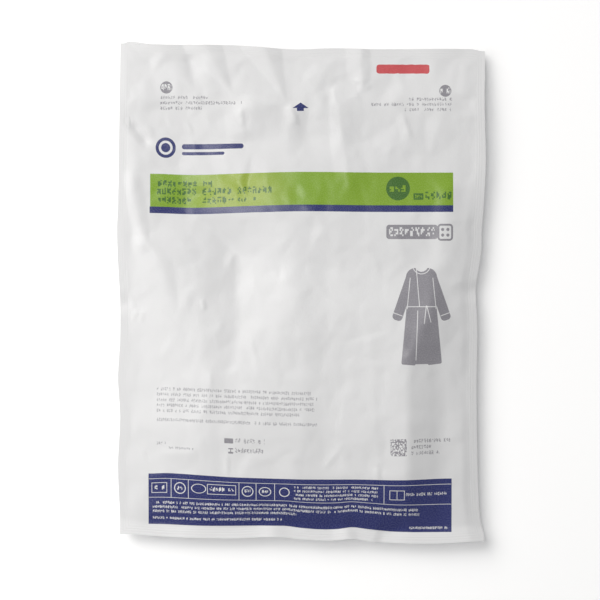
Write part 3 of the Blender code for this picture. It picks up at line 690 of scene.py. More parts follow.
def wrinkles_height(wrinkles, x, y):
    """Height that a group of sharp wrinkles adds."""
    height = np.zeros_like(x)
    for wrinkle in wrinkles:
        along, across, length = beside_line(wrinkle, x, y)
        taper = clamp(1.0 - np.abs(2.0 * along / length - 1.0))
        climb = 1.0 / wrinkle.left
        fall = -1.0 / wrinkle.right
        tent = climb * soft_ramp(across + wrinkle.left, WRINKLE_SOFTNESS)
        tent += (fall - climb) * soft_ramp(across, WRINKLE_SOFTNESS)
        tent -= fall * soft_ramp(across - wrinkle.right, WRINKLE_SOFTNESS)
        height += wrinkle.rise * eased(1.6 * taper) * tent
    return height


def facets_height(facets, x, y):
    """Height of small flat facets between scattered points."""
    random = np.random.default_rng(facets.seed)
    columns = np.arange(-0.5 * POUCH_WIDTH - facets.across, 0.5 * POUCH_WIDTH + facets.across,
                        facets.across)
    rows = np.arange(-0.5 * POUCH_LENGTH - facets.along, 0.5 * POUCH_LENGTH + facets.along,
                     facets.along)
    places = np.stack(np.meshgrid(columns, rows), axis=-1).reshape(-1, 2)
    scatter = random.uniform(-FACET_SCATTER, FACET_SCATTER, places.shape)
    places += scatter * (facets.across, facets.along)
    rises = random.uniform(-1.0, 1.0, len(places)) * facets.height
    corners = [Vector(place) for place in places]
    _, _, triangles, sources, _, _ = delaunay_2d_cdt(corners, [], [], 0, 1e-7)
    height = np.zeros_like(x)
    order = [source[0] for source in sources]
    for triangle in triangles:
        a, b, c = (order[corner] for corner in triangle)
        (ax, ay), (bx, by), (cx, cy) = places[a], places[b], places[c]
        near = (x >= min(ax, bx, cx)) & (x <= max(ax, bx, cx))
        near &= (y >= min(ay, by, cy)) & (y <= max(ay, by, cy))
        spots = np.nonzero(near)
        px = x[spots]
        py = y[spots]
        whole = (by - cy) * (ax - cx) + (cx - bx) * (ay - cy)
        share_a = ((by - cy) * (px - cx) + (cx - bx) * (py - cy)) / whole
        share_b = ((cy - ay) * (px - cx) + (ax - cx) * (py - cy)) / whole
        share_c = 1.0 - share_a - share_b
        inside = (share_a >= 0.0) & (share_b >= 0.0) & (share_c >= 0.0)
        level = share_a * rises[a] + share_b * rises[b] + share_c * rises[c]
        height[tuple(axis[inside] for axis in spots)] = level[inside]
    return height


def softened(height, passes):
    """A lattice of heights, each averaged with its neighbours a few times."""
    for _ in range(passes):
        for axis in (0, 1):
            ends = [(1, 1) if axis == side else (0, 0) for side in (0, 1)]
            padded = np.pad(height, ends, mode="edge")
            if axis == 0:
                height = 0.25 * padded[:-2] + 0.5 * padded[1:-1] + 0.25 * padded[2:]
            else:
                height = 0.25 * padded[:, :-2] + 0.5 * padded[:, 1:-1] + 0.25 * padded[:, 2:]
    return height


def crease_section(x, y):
    """Rise of the front film, as strips drawn straight from crease to crease."""
    left, right, _, _ = rim_distances(x, y)
    bends = [(x - left + SEAL_WIDTH, 0.0, SEAL_SOFTNESS)]
    for crease in CREASES:
        places = [node.y for node in crease.nodes]
        across = curve_value(places, [node.x for node in crease.nodes], y)
        rise = curve_value(places, [node.rise for node in crease.nodes], y)
        bends.append((across, rise, crease.softness))
    bends.append((x + right - SEAL_WIDTH, 0.0, SEAL_SOFTNESS))
    rise = np.zeros_like(x)
    slope = np.zeros_like(x)
    for index, (across, height, softness) in enumerate(bends):
        following = np.zeros_like(x)
        if index < len(bends) - 1:
            next_across, next_height, _ = bends[index + 1]
            following = (next_height - height) / (next_across - across)
        rise = rise + (following - slope) * soft_ramp(x - across, softness)
        slope = following
    return rise


def front_rise(x, y):
    """Rise of the front film above the seam."""
    _, _, bottom, top = rim_distances(x, y)
    fullness = shouldered((bottom - SEAL_WIDTH) / BOTTOM_SHOULDER)
    fullness = fullness * shouldered((top - HEADER_LENGTH) / TOP_SHOULDER)
    folds = folds_height(FRONT_FOLDS, x, y)
    return fullness * (crease_section(x, y) + folds)


def back_fullness(x, y):
    """Share of the full drop to the surface that the back film has."""
    left, right, bottom, top = rim_distances(x, y)
    return (
        shouldered((left - SEAL_WIDTH) / BACK_SHOULDER)
        * shouldered((right - SEAL_WIDTH) / BACK_SHOULDER)
        * shouldered((bottom - SEAL_WIDTH) / BACK_SHOULDER)
        * shouldered((top - HEADER_LENGTH) / BACK_SHOULDER)
    )


def seam_height(x, y):
    """Height of the surface between the two films where they lie together."""
    share = 0.5 + x / POUCH_WIDTH
    height = RIM_LIFT_LEFT + share * (RIM_LIFT_RIGHT - RIM_LIFT_LEFT)
    left, right, bottom, top = rim_distances(x, y)
    start, end = RIGHT_DROOP_END
    hanging = 1.0 - eased((y - start) / (end - start))
    for distance, droop, part in zip((left, right, bottom, top), RIM_DROOPS, (1, hanging, 1, 1)):
        height = height - part * droop * soft_ramp(1.0 - distance / DROOP_RUN, 0.15)
    height = height - HEADER_FALL * soft_ramp(HEADER_LENGTH - top, HEADER_BEND) / HEADER_LENGTH
    height = height + folds_height(HEADER_FOLDS + RIM_FOLDS, x, y)
    return height + cones_height(HEADER_CONES, x, y)


def seal_ribs(x, y):
    """Fine parallel ribs that the sealing jaws press into both films."""
    nearest = np.minimum.reduce(rim_distances(x, y))
    band = eased((nearest - RIB_MARGIN) / RIB_PITCH)
    band = band * eased((SEAL_WIDTH - nearest) / RIB_PITCH)
    return RIB_HEIGHT * band * np.sin(2.0 * math.pi * (nearest - RIB_MARGIN) / RIB_PITCH)


def front_fine(x, y):
    """Fine wrinkles and facets of the front film, which die out in the seals."""
    _, _, _, top = rim_distances(x, y)
    crumple = 1.0 + HEADER_CRUMPLE * eased(2.0 - top / HEADER_LENGTH)
    fine = wrinkles_height(FRONT_WRINKLES, x, y)
    fine = fine + crumple * softened(sum(facets_height(size, x, y) for size in FRONT_FACETS), 1)
    nearest = np.minimum.reduce(rim_distances(x, y))
    return eased((nearest - 0.5 * SEAL_WIDTH) / SEAL_WIDTH) * fine


def front_outer(x, y, thickness, wrinkling):
    """The seen side of the front film."""
    full = (FULL_RISE + SOLID_WALL - thickness) / FULL_RISE
    seam = seam_height(x, y) + 0.5 * FILMS_APART + seal_ribs(x, y)
    return seam + thickness + full * front_rise(x, y) + wrinkling * front_fine(x, y)


def back_outer(x, y, thickness, wrinkling):
    """The seen side of the back film, which faces down and rests flat.

    Where the two films lie together, it has the front film's wrinkles.
    """
    together = 1.0 - back_fullness(x, y)
    seam = seam_height(x, y) - 0.5 * FILMS_APART - thickness + seal_ribs(x, y)
    seam = np.maximum(0.0, seam + wrinkling * front_fine(x, y))
    fine = wrinkles_height(BACK_WRINKLES, x, y)
    fine = fine + softened(sum(facets_height(size, x, y) for size in BACK_FACETS), 1)
    fine = np.maximum(0.0, fine)
    return together * seam + (1.0 - together) * wrinkling * fine


def grid_shares(length, stretches):
    """Shares along one side of the pouch, even within each stretch (its end, its cell)."""
    shares = [0.0]
    start = 0.0
    for end, cell in stretches:
        count = INNER_STEP * max(1, round((end - start) / cell / INNER_STEP))
        steps = np.arange(1, count + 1) / count
        shares.extend((start + (end - start) * steps) / length)
        start = end
    return np.array(shares)


def film_lattice(cell):
    """Places of the seen face's grid points, rows from the bottom up."""
    across = grid_shares(POUCH_WIDTH, [
        (SEAL_WIDTH, SEAL_CELL),
        (POUCH_WIDTH - SEAL_WIDTH, cell),
        (POUCH_WIDTH, SEAL_CELL),
    ])
    along = grid_shares(POUCH_LENGTH, [
        (SEAL_WIDTH, SEAL_CELL),
        (POUCH_LENGTH - SEAL_WIDTH, cell),
        (POUCH_LENGTH, SEAL_CELL),
    ])
    u, v = np.meshgrid(across, along)
    return pouch_points(u, v)


def unseen_heights(outer, thickness, side):
    """Heights of the unseen face at every INNER_STEP-th line, clear of the seen face."""
    clear = side * outer - thickness
    low = clear[::INNER_STEP, ::INNER_STEP].copy()
    half = clear[::INNER_STEP, 1::INNER_STEP]
    for part, first, second in (
        (half, (slice(None), slice(None, -1)), (slice(None), slice(1, None))),
        (clear[1::INNER_STEP, ::INNER_STEP], (slice(None, -1), slice(None)),
         (slice(1, None), slice(None))),
    ):
        over = np.maximum(0.0, 0.5 * (low[first] + low[second]) - part - 0.5 * thickness)
        lowered = low.copy()
        lowered[first] = np.minimum(lowered[first], low[first] - over)
        lowered[second] = np.minimum(lowered[second], low[second] - over)
        low = lowered
    return side * low


def film_mesh(name, x, y, outer, thickness, side):
    """A closed thin film: a fine seen face, a coarser unseen one and the rim between.

    side is 1 for a film that is seen from above and -1 for one seen from below.
    """
    rows, columns = x.shape
    inner = unseen_heights(outer, thickness, side)
    seen = np.stack([x, y, outer], axis=-1).reshape(-1, 3)
    unseen = np.stack([x[::INNER_STEP, ::INNER_STEP], y[::INNER_STEP, ::INNER_STEP], inner],
                      axis=-1).reshape(-1, 3)
    top = np.arange(rows * columns).reshape(rows, columns)
    inner_rows, inner_columns = inner.shape
    under = len(seen) + np.arange(inner_rows * inner_columns).reshape(inner.shape)

    def quads(index, upward):
        corners = [index[:-1, :-1], index[:-1, 1:], index[1:, 1:], index[1:, :-1]]
        if not upward:
            corners.reverse()
        return np.stack(corners, axis=-1).reshape(-1, 4).tolist()

    faces = quads(top, side > 0) + quads(under, side < 0)

    def border(index):
        return np.concatenate([
            index[0, :-1], index[:-1, -1], index[-1, :0:-1], index[:0:-1, 0],
        ]).tolist()

    outline = border(top)
    lining = border(under)
    for step, here in enumerate(lining):
        there = lining[(step + 1) % len(lining)]
        stretch = [outline[(step * INNER_STEP + k) % len(outline)]
                   for k in range(INNER_STEP, -1, -1)]
        face = [here, there] + stretch
        if side < 0:
            face.reverse()
        faces.append(face)
    mesh = bpy.data.meshes.new(name)
    mesh.from_pydata(np.concatenate([seen, unseen]).tolist(), [], faces)
    mesh.validate()
    return mesh


def print_rise(x, y):
    """How much the print at a place lies above its own straight line."""
    rises = []
    for line in PRINT_LINES:
        places = [shift.x for shift in line.shifts]
        rises.append(curve_value(places, [shift.rise for shift in line.shifts], x))
    rises = np.stack(rises)
    levels = np.array([line.y for line in PRINT_LINES])
    k = np.clip(np.searchsorted(levels, y, side="right") - 1, 0, len(levels) - 2)
    share = clamp((y - levels[k]) / (levels[k + 1] - levels[k]))
    lower = np.take_along_axis(rises, k[None], axis=0)[0]
    upper = np.take_along_axis(rises, k[None] + 1, axis=0)[0]
    return lower + (upper - lower) * eased(share)


def add_corner_map(mesh, name, places):
    """Give a mesh a named map from places of its vertices."""
    layer = mesh.uv_layers.new(name=name, do_init=False)
    corners = np.empty(len(mesh.loops), np.int32)
    mesh.loops.foreach_get("vertex_index", corners)
    layer.uv.foreach_set("vector", places[corners].astype(np.float32).ravel())


def bake_places(mesh, seen_count):
    """Places in a unit square: the seen face fills it but for a strip for the unseen one."""
    points = np.empty(len(mesh.vertices) * 3)
    mesh.vertices.foreach_get("co", points)
    points = points.reshape(-1, 3)
    across = BAKE_MARGIN + (1.0 - 2.0 * BAKE_MARGIN) * clamp(points[:, 0] / POUCH_WIDTH + 0.5)
    along = clamp(points[:, 1] / POUCH_LENGTH + 0.5)
    seen = np.arange(len(points)) < seen_count
    low = np.where(seen, UNSEEN_SHARE + BAKE_MARGIN, BAKE_MARGIN)
    high = np.where(seen, 1.0 - BAKE_MARGIN, UNSEEN_SHARE - BAKE_MARGIN)
    return np.stack([across, low + (high - low) * along], 1)


def finish_piece(mesh, material, slot_name, *nodes):
    """Shade a mesh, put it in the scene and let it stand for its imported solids."""
    mesh.shade_smooth()
    mesh.set_sharp_from_angle(angle=RIM_ANGLE)
    mesh.materials.append(material)
    piece = bpy.data.objects.new(mesh.name, mesh)
    bpy.context.scene.collection.objects.link(piece)
    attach(piece, "root")
    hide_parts(*nodes)
    return piece


# ---------------------------------------------------------------- material nodes


class Bench:
    """Adds nodes to one tree and wires them."""

    def __init__(self, tree):
        self.tree = tree

    def wire(self, socket, value):
        """Link a socket to another, or set its value."""
        if isinstance(value, bpy.types.NodeSocket):
            self.tree.links.new(value, socket)
        else:
            socket.default_value = value

    def add(self, kind, named=None, **settings):
        """A node with its settings, its inputs wired by name."""
        node = self.tree.nodes.new(kind)
        for setting, value in settings.items():
            setattr(node, setting, value)
        for name, value in (named or {}).items():
            self.wire(node.inputs[name], value)
        return node

    def number(self, operation, *values):
        """A Math node."""
        node = self.tree.nodes.new("ShaderNodeMath")
        node.operation = operation
        for socket, value in zip(node.inputs, values):
            self.wire(socket, value)
        return node.outputs[0]

    def vector(self, operation, *values):
        """A Vector Math node."""
        node = self.tree.nodes.new("ShaderNodeVectorMath")
        node.operation = operation
        for socket, value in zip(node.inputs, values):
            self.wire(socket, value)
        number = operation in ("LENGTH", "DISTANCE", "DOT_PRODUCT")
        return node.outputs["Value" if number else "Vector"]

    def parts(self, vector):
        """The x and y of a vector.

        A Separate XYZ node holds on to the part that nothing reads, which leaves too
        little room for a long material.
        """
        return (self.vector("DOT_PRODUCT", vector, (1.0, 0.0, 0.0)),
                self.vector("DOT_PRODUCT", vector, (0.0, 1.0, 0.0)))

    def joined(self, x, y, z=0.0):
        """A vector from three numbers."""
        node = self.tree.nodes.new("ShaderNodeCombineXYZ")
        for socket, value in zip(node.inputs, (x, y, z)):
            self.wire(socket, value)
        return node.outputs[0]

    def mixed(self, share, first, second):
        """One colour laid over another."""
        node = self.add("ShaderNodeMix", data_type="RGBA")
        self.wire(node.inputs[0], share)
        self.wire(node.inputs[6], first)
        self.wire(node.inputs[7], second)
        return node.outputs[2]

    def ranged(self, value, low, high, out_low, out_high):
        """A value moved from one range to another."""
        node = self.tree.nodes.new("ShaderNodeMapRange")
        for socket, number in zip(node.inputs, (value, low, high, out_low, out_high)):
            self.wire(socket, number)
        return node.outputs[0]

    def noise(self, place, scale, detail=2.0):
        """Soft noise from 0 to 1, with scale in waves to a metre."""
        node = self.add("ShaderNodeTexNoise", {
            "Vector": place, "Scale": scale, "Detail": detail,
        })
        return node.outputs[0]

    def speckle(self, *counts):
        """A random value from 0 to 1 for each set of whole numbers below 512, 8 and 4096."""
        total = counts[0]
        for count, worth in zip(counts[1:], (512.0, 4096.0)):
            total = self.number("MULTIPLY_ADD", count, worth, total)
        return self.add("ShaderNodeTexWhiteNoise", {"W": total}, noise_dimensions="1D").outputs[0]

    def use(self, group, **named):
        """The first output of a node group."""
        node = self.add("ShaderNodeGroup", node_tree=group)
        for name, value in named.items():
            self.wire(node.inputs[name.replace("_", " ").title()], value)
        return node.outputs[0]


def new_group(name, inputs, output):
    """An empty node group, and its bench, inputs and a function that sets its output."""
    group = bpy.data.node_groups.new(name, "ShaderNodeTree")
    for label, kind in inputs:
        group.interface.new_socket(name=label, in_out="INPUT", socket_type=kind)
    group.interface.new_socket(name=output, in_out="OUTPUT", socket_type="NodeSocketFloat")
    bench = Bench(group)
    entry = group.nodes.new("NodeGroupInput")
    way_out = group.nodes.new("NodeGroupOutput")
    return group, bench, entry.outputs, way_out.inputs[0]


def bar_group():
    """Distance outside a rectangle with round corners."""
    group, bench, inputs, output = new_group("Printed bar", [
        ("Place", "NodeSocketVector"), ("Centre", "NodeSocketVector"),
        ("Half Size", "NodeSocketVector"), ("Corner", "NodeSocketFloat"),
    ], "Distance")
    place, centre, half, corner = inputs[0], inputs[1], inputs[2], inputs[3]
    away = bench.vector("ABSOLUTE", bench.vector("SUBTRACT", place, centre))
    past = bench.vector("ADD", bench.vector("SUBTRACT", away, half), bench.joined(corner, corner))
    outside = bench.vector("LENGTH", bench.vector("MAXIMUM", past, (0.0, 0.0, 0.0)))
    x, y = bench.parts(past)
    inside = bench.number("MINIMUM", bench.number("MAXIMUM", x, y), 0.0)
    total = bench.number("ADD", outside, inside)
    bench.wire(output, bench.number("SUBTRACT", total, corner))
    return group


def text_group():
    """Ink of make-believe text: random marks in letters, words and lines, nothing to read.

    Origin holds the left side and the top of the text and a seed, and Pitch the width of a
    letter and the height of a line.
    """
    group, bench, inputs, output = new_group("Make-believe text", [
        ("Place", "NodeSocketVector"), ("Origin", "NodeSocketVector"),
        ("Pitch", "NodeSocketVector"),
    ], "Ink")
    place, origin, pitch = inputs[0], inputs[1], inputs[2]
    across, down = bench.parts(bench.vector("MULTIPLY", bench.vector(
        "SUBTRACT", place, origin), (TEXT_COLUMNS, -1.0, 0.0)))
    letter, line = bench.parts(pitch)
    seed = bench.vector("DOT_PRODUCT", origin, (0.0, 0.0, 1.0))
    column = bench.number("FLOOR", bench.number("DIVIDE", across, letter))
    letter_place = bench.number("FLOOR", bench.number("DIVIDE", column, TEXT_COLUMNS))
    sub_column = bench.number("SUBTRACT", column,
                              bench.number("MULTIPLY", letter_place, TEXT_COLUMNS))
    lines = bench.number("DIVIDE", down, line)
    line_place = bench.number("FLOOR", lines)
    row = bench.number("FLOOR", bench.number(
        "MULTIPLY", bench.number("SUBTRACT", lines, line_place), TEXT_ROWS))
    seeded = bench.number("ADD", line_place, seed)
    body = bench.number("COMPARE", row, BODY_ROW, BODY_REACH)
    needed = bench.ranged(body, 0.0, 1.0, *MARK_LEVELS)
    ink = bench.number("GREATER_THAN", bench.speckle(column, row, seeded), needed)
    word = bench.speckle(letter_place, WORD_SEED, seeded)
    ink = bench.number("MULTIPLY", ink, bench.number("GREATER_THAN", word, WORD_GAPS))
    last_column = TEXT_COLUMNS - BLANK_COLUMNS - 0.5
    ink = bench.number("MULTIPLY", ink, bench.number("LESS_THAN", sub_column, last_column))
    last_row = TEXT_ROWS - BLANK_ROWS - 0.5
    bench.wire(output, bench.number("MULTIPLY", ink, bench.number("LESS_THAN", row, last_row)))
    return group


class Printer:
    """Draws shapes and make-believe text at a place on the flat film.

    The nodes of each shape are made just before they are used, which keeps few values
    waiting while the material is worked out.
    """

    def __init__(self, bench, place):
        self.bench = bench
        self.place = place
        self.bars = bar_group()
        self.blocks = 0
        self.origin = (0.0, 0.0, 0.0)
        self.pitch = (0.0, 0.0, 0.0)

    def bar(self, bar):
        """Distance outside a bar."""
        centre = (0.5 * (bar.left + bar.right), 0.5 * (bar.low + bar.high), 0.0)
        half = (0.5 * (bar.right - bar.left), 0.5 * (bar.high - bar.low), 1.0)
        return self.bench.use(self.bars, place=self.place, centre=centre, half_size=half,
                              corner=bar.corner)

    def frame(self, frame):
        """Distance outside the line round a bar."""
        off = self.bench.number("ABSOLUTE", self.bar(frame.bar))
        return self.bench.number("SUBTRACT", off, frame.line)

    def limb(self, limb):
        """Distance outside a leaning bar."""
        turned = self.bench.add("ShaderNodeVectorRotate", {
            "Vector": self.place, "Center": (limb.x, limb.y, 0.0), "Angle": limb.lean,
        }, rotation_type="Z_AXIS")
        return self.bench.use(self.bars, place=turned.outputs[0], centre=(limb.x, limb.y, 0.0),
                              half_size=(limb.half_width, limb.half_length, 1.0),
                              corner=limb.corner)

    def disc(self, disc):
        """Distance outside a disc."""
        away = self.bench.vector("DISTANCE", self.place, (disc.x, disc.y, 0.0))
        return self.bench.number("SUBTRACT", away, disc.radius)

    def ring(self, ring):
        """Distance outside the line of a ring or an oval."""
        away = self.bench.vector("SUBTRACT", self.place, (ring.x, ring.y, 0.0))
        evened = self.bench.vector("MULTIPLY", away, (1.0, ring.radius_x / ring.radius_y, 1.0))
        off = self.bench.number("SUBTRACT", self.bench.vector("LENGTH", evened), ring.radius_x)
        return self.bench.number("SUBTRACT", self.bench.number("ABSOLUTE", off), ring.line)

    def distance(self, shapes):
        """Distance outside the nearest of some shapes."""
        ways = {Bar: self.bar, Frame: self.frame, Limb: self.limb, Disc: self.disc,
                Ring: self.ring}
        nearest = None
        for shape in shapes:
            distance = ways[type(shape)](shape)
            if nearest is None:
                nearest = distance
            else:
                nearest = self.bench.number("MINIMUM", nearest, distance)
        return nearest

    def filled(self, shapes):
        """1 inside any of some shapes, and 0 outside."""
        return self.bench.number("LESS_THAN", self.distance(shapes), 0.0)

    def text_area(self, blocks):
        """Where some blocks of make-believe text lie.  Notes their origins and pitches."""
        whole = None
        for block in blocks:
            self.blocks += 1
            rows = []
            for index, row in enumerate(block.rows):
                high = block.top - index * block.line
                low = high - TEXT_DEPTH * block.line
                rows.append(Bar(row.left, row.right, low, high, 0.0))
            area = self.filled(rows)
            left = min(row.left for row in block.rows)
            self.origin = self.bench.vector(
                "MULTIPLY_ADD", area, (left, block.top, BLOCK_SEED * self.blocks), self.origin)
            self.pitch = self.bench.vector(
                "MULTIPLY_ADD", area, (block.letter, block.line, 0.0), self.pitch)
            whole = area if whole is None else self.bench.number("MAXIMUM", whole, area)
        return whole

    def text_marks(self):
        """Marks of all the make-believe text that has been noted."""
        return self.bench.use(text_group(), place=self.place, origin=self.origin,
                              pitch=self.pitch)


def rgba(colour):
    """A colour with full cover."""
    return (colour[0], colour[1], colour[2], 1.0)


def tinted(colour, factor):
    """A colour made darker or paler, with full cover."""
    return rgba([min(1.0, factor * part) for part in colour])


def new_material(name):
    """An empty material, the bench for its nodes and its shader."""
    material = bpy.data.materials.new(name)
    material.use_nodes = True
    return material, Bench(material.node_tree), material.node_tree.nodes["Principled BSDF"]


def raise_surface(bench, shader, level):
    """Let the light see small heights in metres."""
    bump = bench.add("ShaderNodeBump", {"Height": level, "Distance": 1.0, "Strength": 1.0})
    bench.wire(shader.inputs["Normal"], bump.outputs[0])


def film_material(name, settings, colour, printing):
    """Matt white film, with fine unevenness, that may be printed."""
    material, bench, shader = new_material(name)
    flat = bench.add("ShaderNodeUVMap", uv_map="film_flat").outputs[0]
    cloud = bench.noise(flat, FILM_CLOUDS, 3.0)
    base = bench.mixed(cloud, *(tinted(colour, tint) for tint in FILM_TINTS))
    inked = 0.0
    if printing:
        base, inked = printed_film(bench, flat, base, colour, printing)
    bench.wire(shader.inputs["Base Color"], base)
    grain = bench.noise(flat, FILM_GRAIN, 2.0)
    rough = bench.ranged(grain, 0.3, 0.7, settings.roughness - ROUGHNESS_SPREAD,
                         settings.roughness + ROUGHNESS_SPREAD)
    if printing:
        rough = bench.number("SUBTRACT", rough, bench.number("MULTIPLY", inked, INK_GLOSS))
    bench.wire(shader.inputs["Roughness"], rough)
    shader.inputs["IOR"].default_value = FILM_IOR
    waves = bench.noise(flat, FILM_WAVES, 3.0)
    level = bench.number("ADD", bench.number("MULTIPLY", waves, FILM_WAVE_HEIGHT),
                         bench.number("MULTIPLY", grain, FILM_GRAIN_HEIGHT))
    raise_surface(bench, shader, level)
    return material


def printed_film(bench, flat, base, film, inks):
    """Lay the inks on the film.  Returns the colour and where there is ink."""
    wander = bench.noise(flat, 1.0 / PRINT_GRAIN, 1.0)
    shift = bench.number("MULTIPLY", bench.number("SUBTRACT", wander, 0.5), 2.0 * PRINT_BLUR)
    place = bench.vector("ADD", flat, bench.joined(shift, shift))
    printer = Printer(bench, place)
    mottle = bench.noise(flat, INK_MOTTLE, 2.0)

    def uneven(colour, spread):
        return bench.mixed(mottle, tinted(colour, 1.0 - spread), tinted(colour, 1.0 + spread))

    areas = [printer.text_area(blocks) for blocks in (
        BAND_TEXT, BAND_DISC_TEXT + BAND_BOX_TEXT, BLOCK_TEXT, BADGE_TEXT + HEADER_DISC_TEXT,
        HEADER_TEXT + CODE_TEXT, PARAGRAPH)]
    marks = printer.text_marks()
    on_band, in_disc, on_block, in_badge, on_film, fine = (
        bench.number("MULTIPLY", marks, area) for area in areas)

    # the wide band, with a painted sheen over an oval
    # painted highlight: over an oval the band's green turns to a paler green, a sheen painted into
    # the colour
    away = bench.vector("SUBTRACT", flat, (PAINTED_SHEEN_OVAL.x, PAINTED_SHEEN_OVAL.y, 0.0))
    evened = bench.vector("MULTIPLY", away, (1.0 / PAINTED_SHEEN_OVAL.radius_x, 1.0 / PAINTED_SHEEN_OVAL.radius_y, 0.0))
    sheen_paint = bench.ranged(bench.vector("LENGTH", evened), PAINTED_SHEEN_CORE, 1.0, 1.0, 0.0)
    band = printer.filled(GREEN_BAND)
    green = bench.mixed(sheen_paint, uneven(inks.green, spread=0.06), rgba(inks.sheen_green))
    colour = bench.mixed(band, base, green)
    dark = bench.number("MAXIMUM", on_band, printer.filled([BAND_DISC] + BAND_BOX))
    colour = bench.mixed(dark, colour, uneven(inks.deep_green, spread=0.08))
    colour = bench.mixed(in_disc, colour, uneven(inks.green, spread=0.06))

    # navy stripe, block, name bars, emblem and arrow, with what is left white in them
    shapes = NAVY_STRIPE + NAVY_BLOCK + NAME_BARS + ARROW_STEM + [EMBLEM_DISC]
    navy = bench.number("MAXIMUM", printer.filled(shapes), arrow_head(bench, place))
    # painted highlight: over the same oval the navy lets the film show through, a sheen painted
    # into the colour
    cover = bench.number("MULTIPLY_ADD", sheen_paint, -PAINTED_SHEEN_SHARE, 1.0)
    cover = bench.number("MULTIPLY", navy, cover)
    colour = bench.mixed(cover, colour, uneven(inks.navy, spread=0.10))
    dividers = [Bar(x - 0.5 * RULE, x + 0.5 * RULE, BLOCK_RULES[1].low, BLOCK_RULES[0].high, 0.0)
                for x in BLOCK_DIVIDERS]
    frames = [Frame(bar, 0.5 * RULE) for bar in BLOCK_FRAMES]
    left_white = bench.number("MAXIMUM", on_block, printer.filled(
        BLOCK_RULES + dividers + frames + BLOCK_RINGS + [EMBLEM_RING]))
    colour = bench.mixed(left_white, colour, rgba(film))

    # grey print
    shapes = BADGE + [Frame(BADGE_CELL, BADGE_CELL_LINE)] + BADGE_PIPS + HEADER_DISCS + CODE_BOXES
    grey = bench.number("MULTIPLY", printer.filled(shapes),
                        bench.number("SUBTRACT", 1.0, in_badge))
    garment = printer.filled(GARMENT_BODY)
    lines = printer.filled(GARMENT_LINES)
    garment = bench.number("MULTIPLY", garment, bench.number("SUBTRACT", 1.0, lines))
    grey = bench.number("MAXIMUM", grey, garment)
    grey = bench.number("MAXIMUM", grey, code_modules(bench, printer))
    grey = bench.number("MAXIMUM", grey, bench.number("MULTIPLY", on_film, FILM_TEXT_COVER))
    fine = bench.number("MULTIPLY", fine, FINE_TEXT_COVER)
    small = bench.number("MAXIMUM", grey, fine)
    colour = bench.mixed(small, colour, uneven(inks.grey, spread=0.08))

    # granular patch that shows the pouch has been sterilised
    wobble = bench.noise(flat, INDICATOR_WAVES, 2.0)
    edge = bench.number("ADD", printer.bar(INDICATOR), bench.number(
        "MULTIPLY", bench.number("SUBTRACT", wobble, 0.5), 2.0 * INDICATOR_WOBBLE))
    patch = bench.number("LESS_THAN", edge, 0.0)
    grain = bench.ranged(bench.noise(flat, INDICATOR_GRAIN, 2.0), 0.35, 0.65, 0.0, 1.0)
    red = bench.mixed(grain, rgba(inks.indicator_dark), rgba(inks.indicator))
    colour = bench.mixed(patch, colour, red)

    inked = bench.number("MAXIMUM", bench.number("MAXIMUM", band, navy), grey)
    return colour, inked


def arrow_head(bench, place):
    """1 inside the head of the arrow that points to the end to open."""
    x, y = bench.parts(bench.vector("SUBTRACT", place, (ARROW_TIP.x, ARROW_TIP.y, 0.0)))
    slope = ARROW_TIP.radius / ARROW_HEAD_LENGTH
    side = bench.number("ADD", bench.number("ABSOLUTE", x), bench.number("MULTIPLY", y, slope))
    foot = bench.number("SUBTRACT", bench.number("MULTIPLY", y, -1.0), ARROW_HEAD_LENGTH)
    return bench.number("LESS_THAN", bench.number("MAXIMUM", side, foot), 0.0)


def code_modules(bench, printer):
    """Ink of a square of random dark and light cells, which holds no code."""
    across, along = bench.parts(printer.place)
    module = (CODE_SQUARE.right - CODE_SQUARE.left) / CODE_MODULES
    cell_x = bench.number("FLOOR", bench.number("DIVIDE", across, module))
    cell_y = bench.number("FLOOR", bench.number("DIVIDE", along, module))
    dark = bench.number("GREATER_THAN", bench.speckle(cell_x, cell_y), CODE_LIGHT_SHARE)
    return bench.number("MULTIPLY", dark, printer.filled([CODE_SQUARE]))


def gown_material(colour):
    """Soft nonwoven cloth: laid fibres and rows of small bonded dots."""
    material, bench, shader = new_material("nonwoven_cloth")
    place = bench.add("ShaderNodeTexCoord").outputs["Object"]
    fibres = bench.noise(bench.vector("MULTIPLY", place, FIBRE_STRETCH), FIBRES, 3.0)
    dots = bench.add("ShaderNodeTexVoronoi", {
        "Vector": place, "Scale": BONDED_DOTS, "Randomness": 0.15,
    }).outputs["Distance"]
    bonded = bench.ranged(dots, 0.18, 0.30, 1.0, 0.0)
    dark, light = (tinted(colour, tint) for tint in CLOTH_TINTS)
    base = bench.mixed(fibres, dark, light)
    base = bench.mixed(bench.number("MULTIPLY", bonded, 0.35), base, dark)
    bench.wire(shader.inputs["Base Color"], base)
    bench.wire(shader.inputs["Roughness"], bench.ranged(fibres, 0.3, 0.7, 0.80, 0.92))
    shader.inputs["Sheen Weight"].default_value = 0.25
    shader.inputs["Sheen Roughness"].default_value = 0.5
    level = bench.number("SUBTRACT", bench.number("MULTIPLY", fibres, FIBRE_HEIGHT),
                         bench.number("MULTIPLY", bonded, DOT_DEPTH))
    raise_surface(bench, shader, level)
    return material


def floor_material(colour, glow):
    """Plain pale paper, faintly lit from below."""
    material, bench, shader = new_material("pale_paper")
    place = bench.add("ShaderNodeTexCoord").outputs["Object"]
    cloud = bench.noise(place, PAPER_CLOUDS, 2.0)
    base = bench.mixed(cloud, tinted(colour, 0.99), rgba(colour))
    bench.wire(shader.inputs["Base Color"], base)
    shader.inputs["Roughness"].default_value = 0.9
    shader.inputs["Specular IOR Level"].default_value = 0.1
    shader.inputs["Emission Color"].default_value = (1.0, 1.0, 1.0, 1.0)
    shader.inputs["Emission Strength"].default_value = glow
    return material


# ---------------------------------------------------------------- the folded gown


def deepest_inset(edge):
    """Largest inset along an edge."""
    return max(point.inset for point in edge)


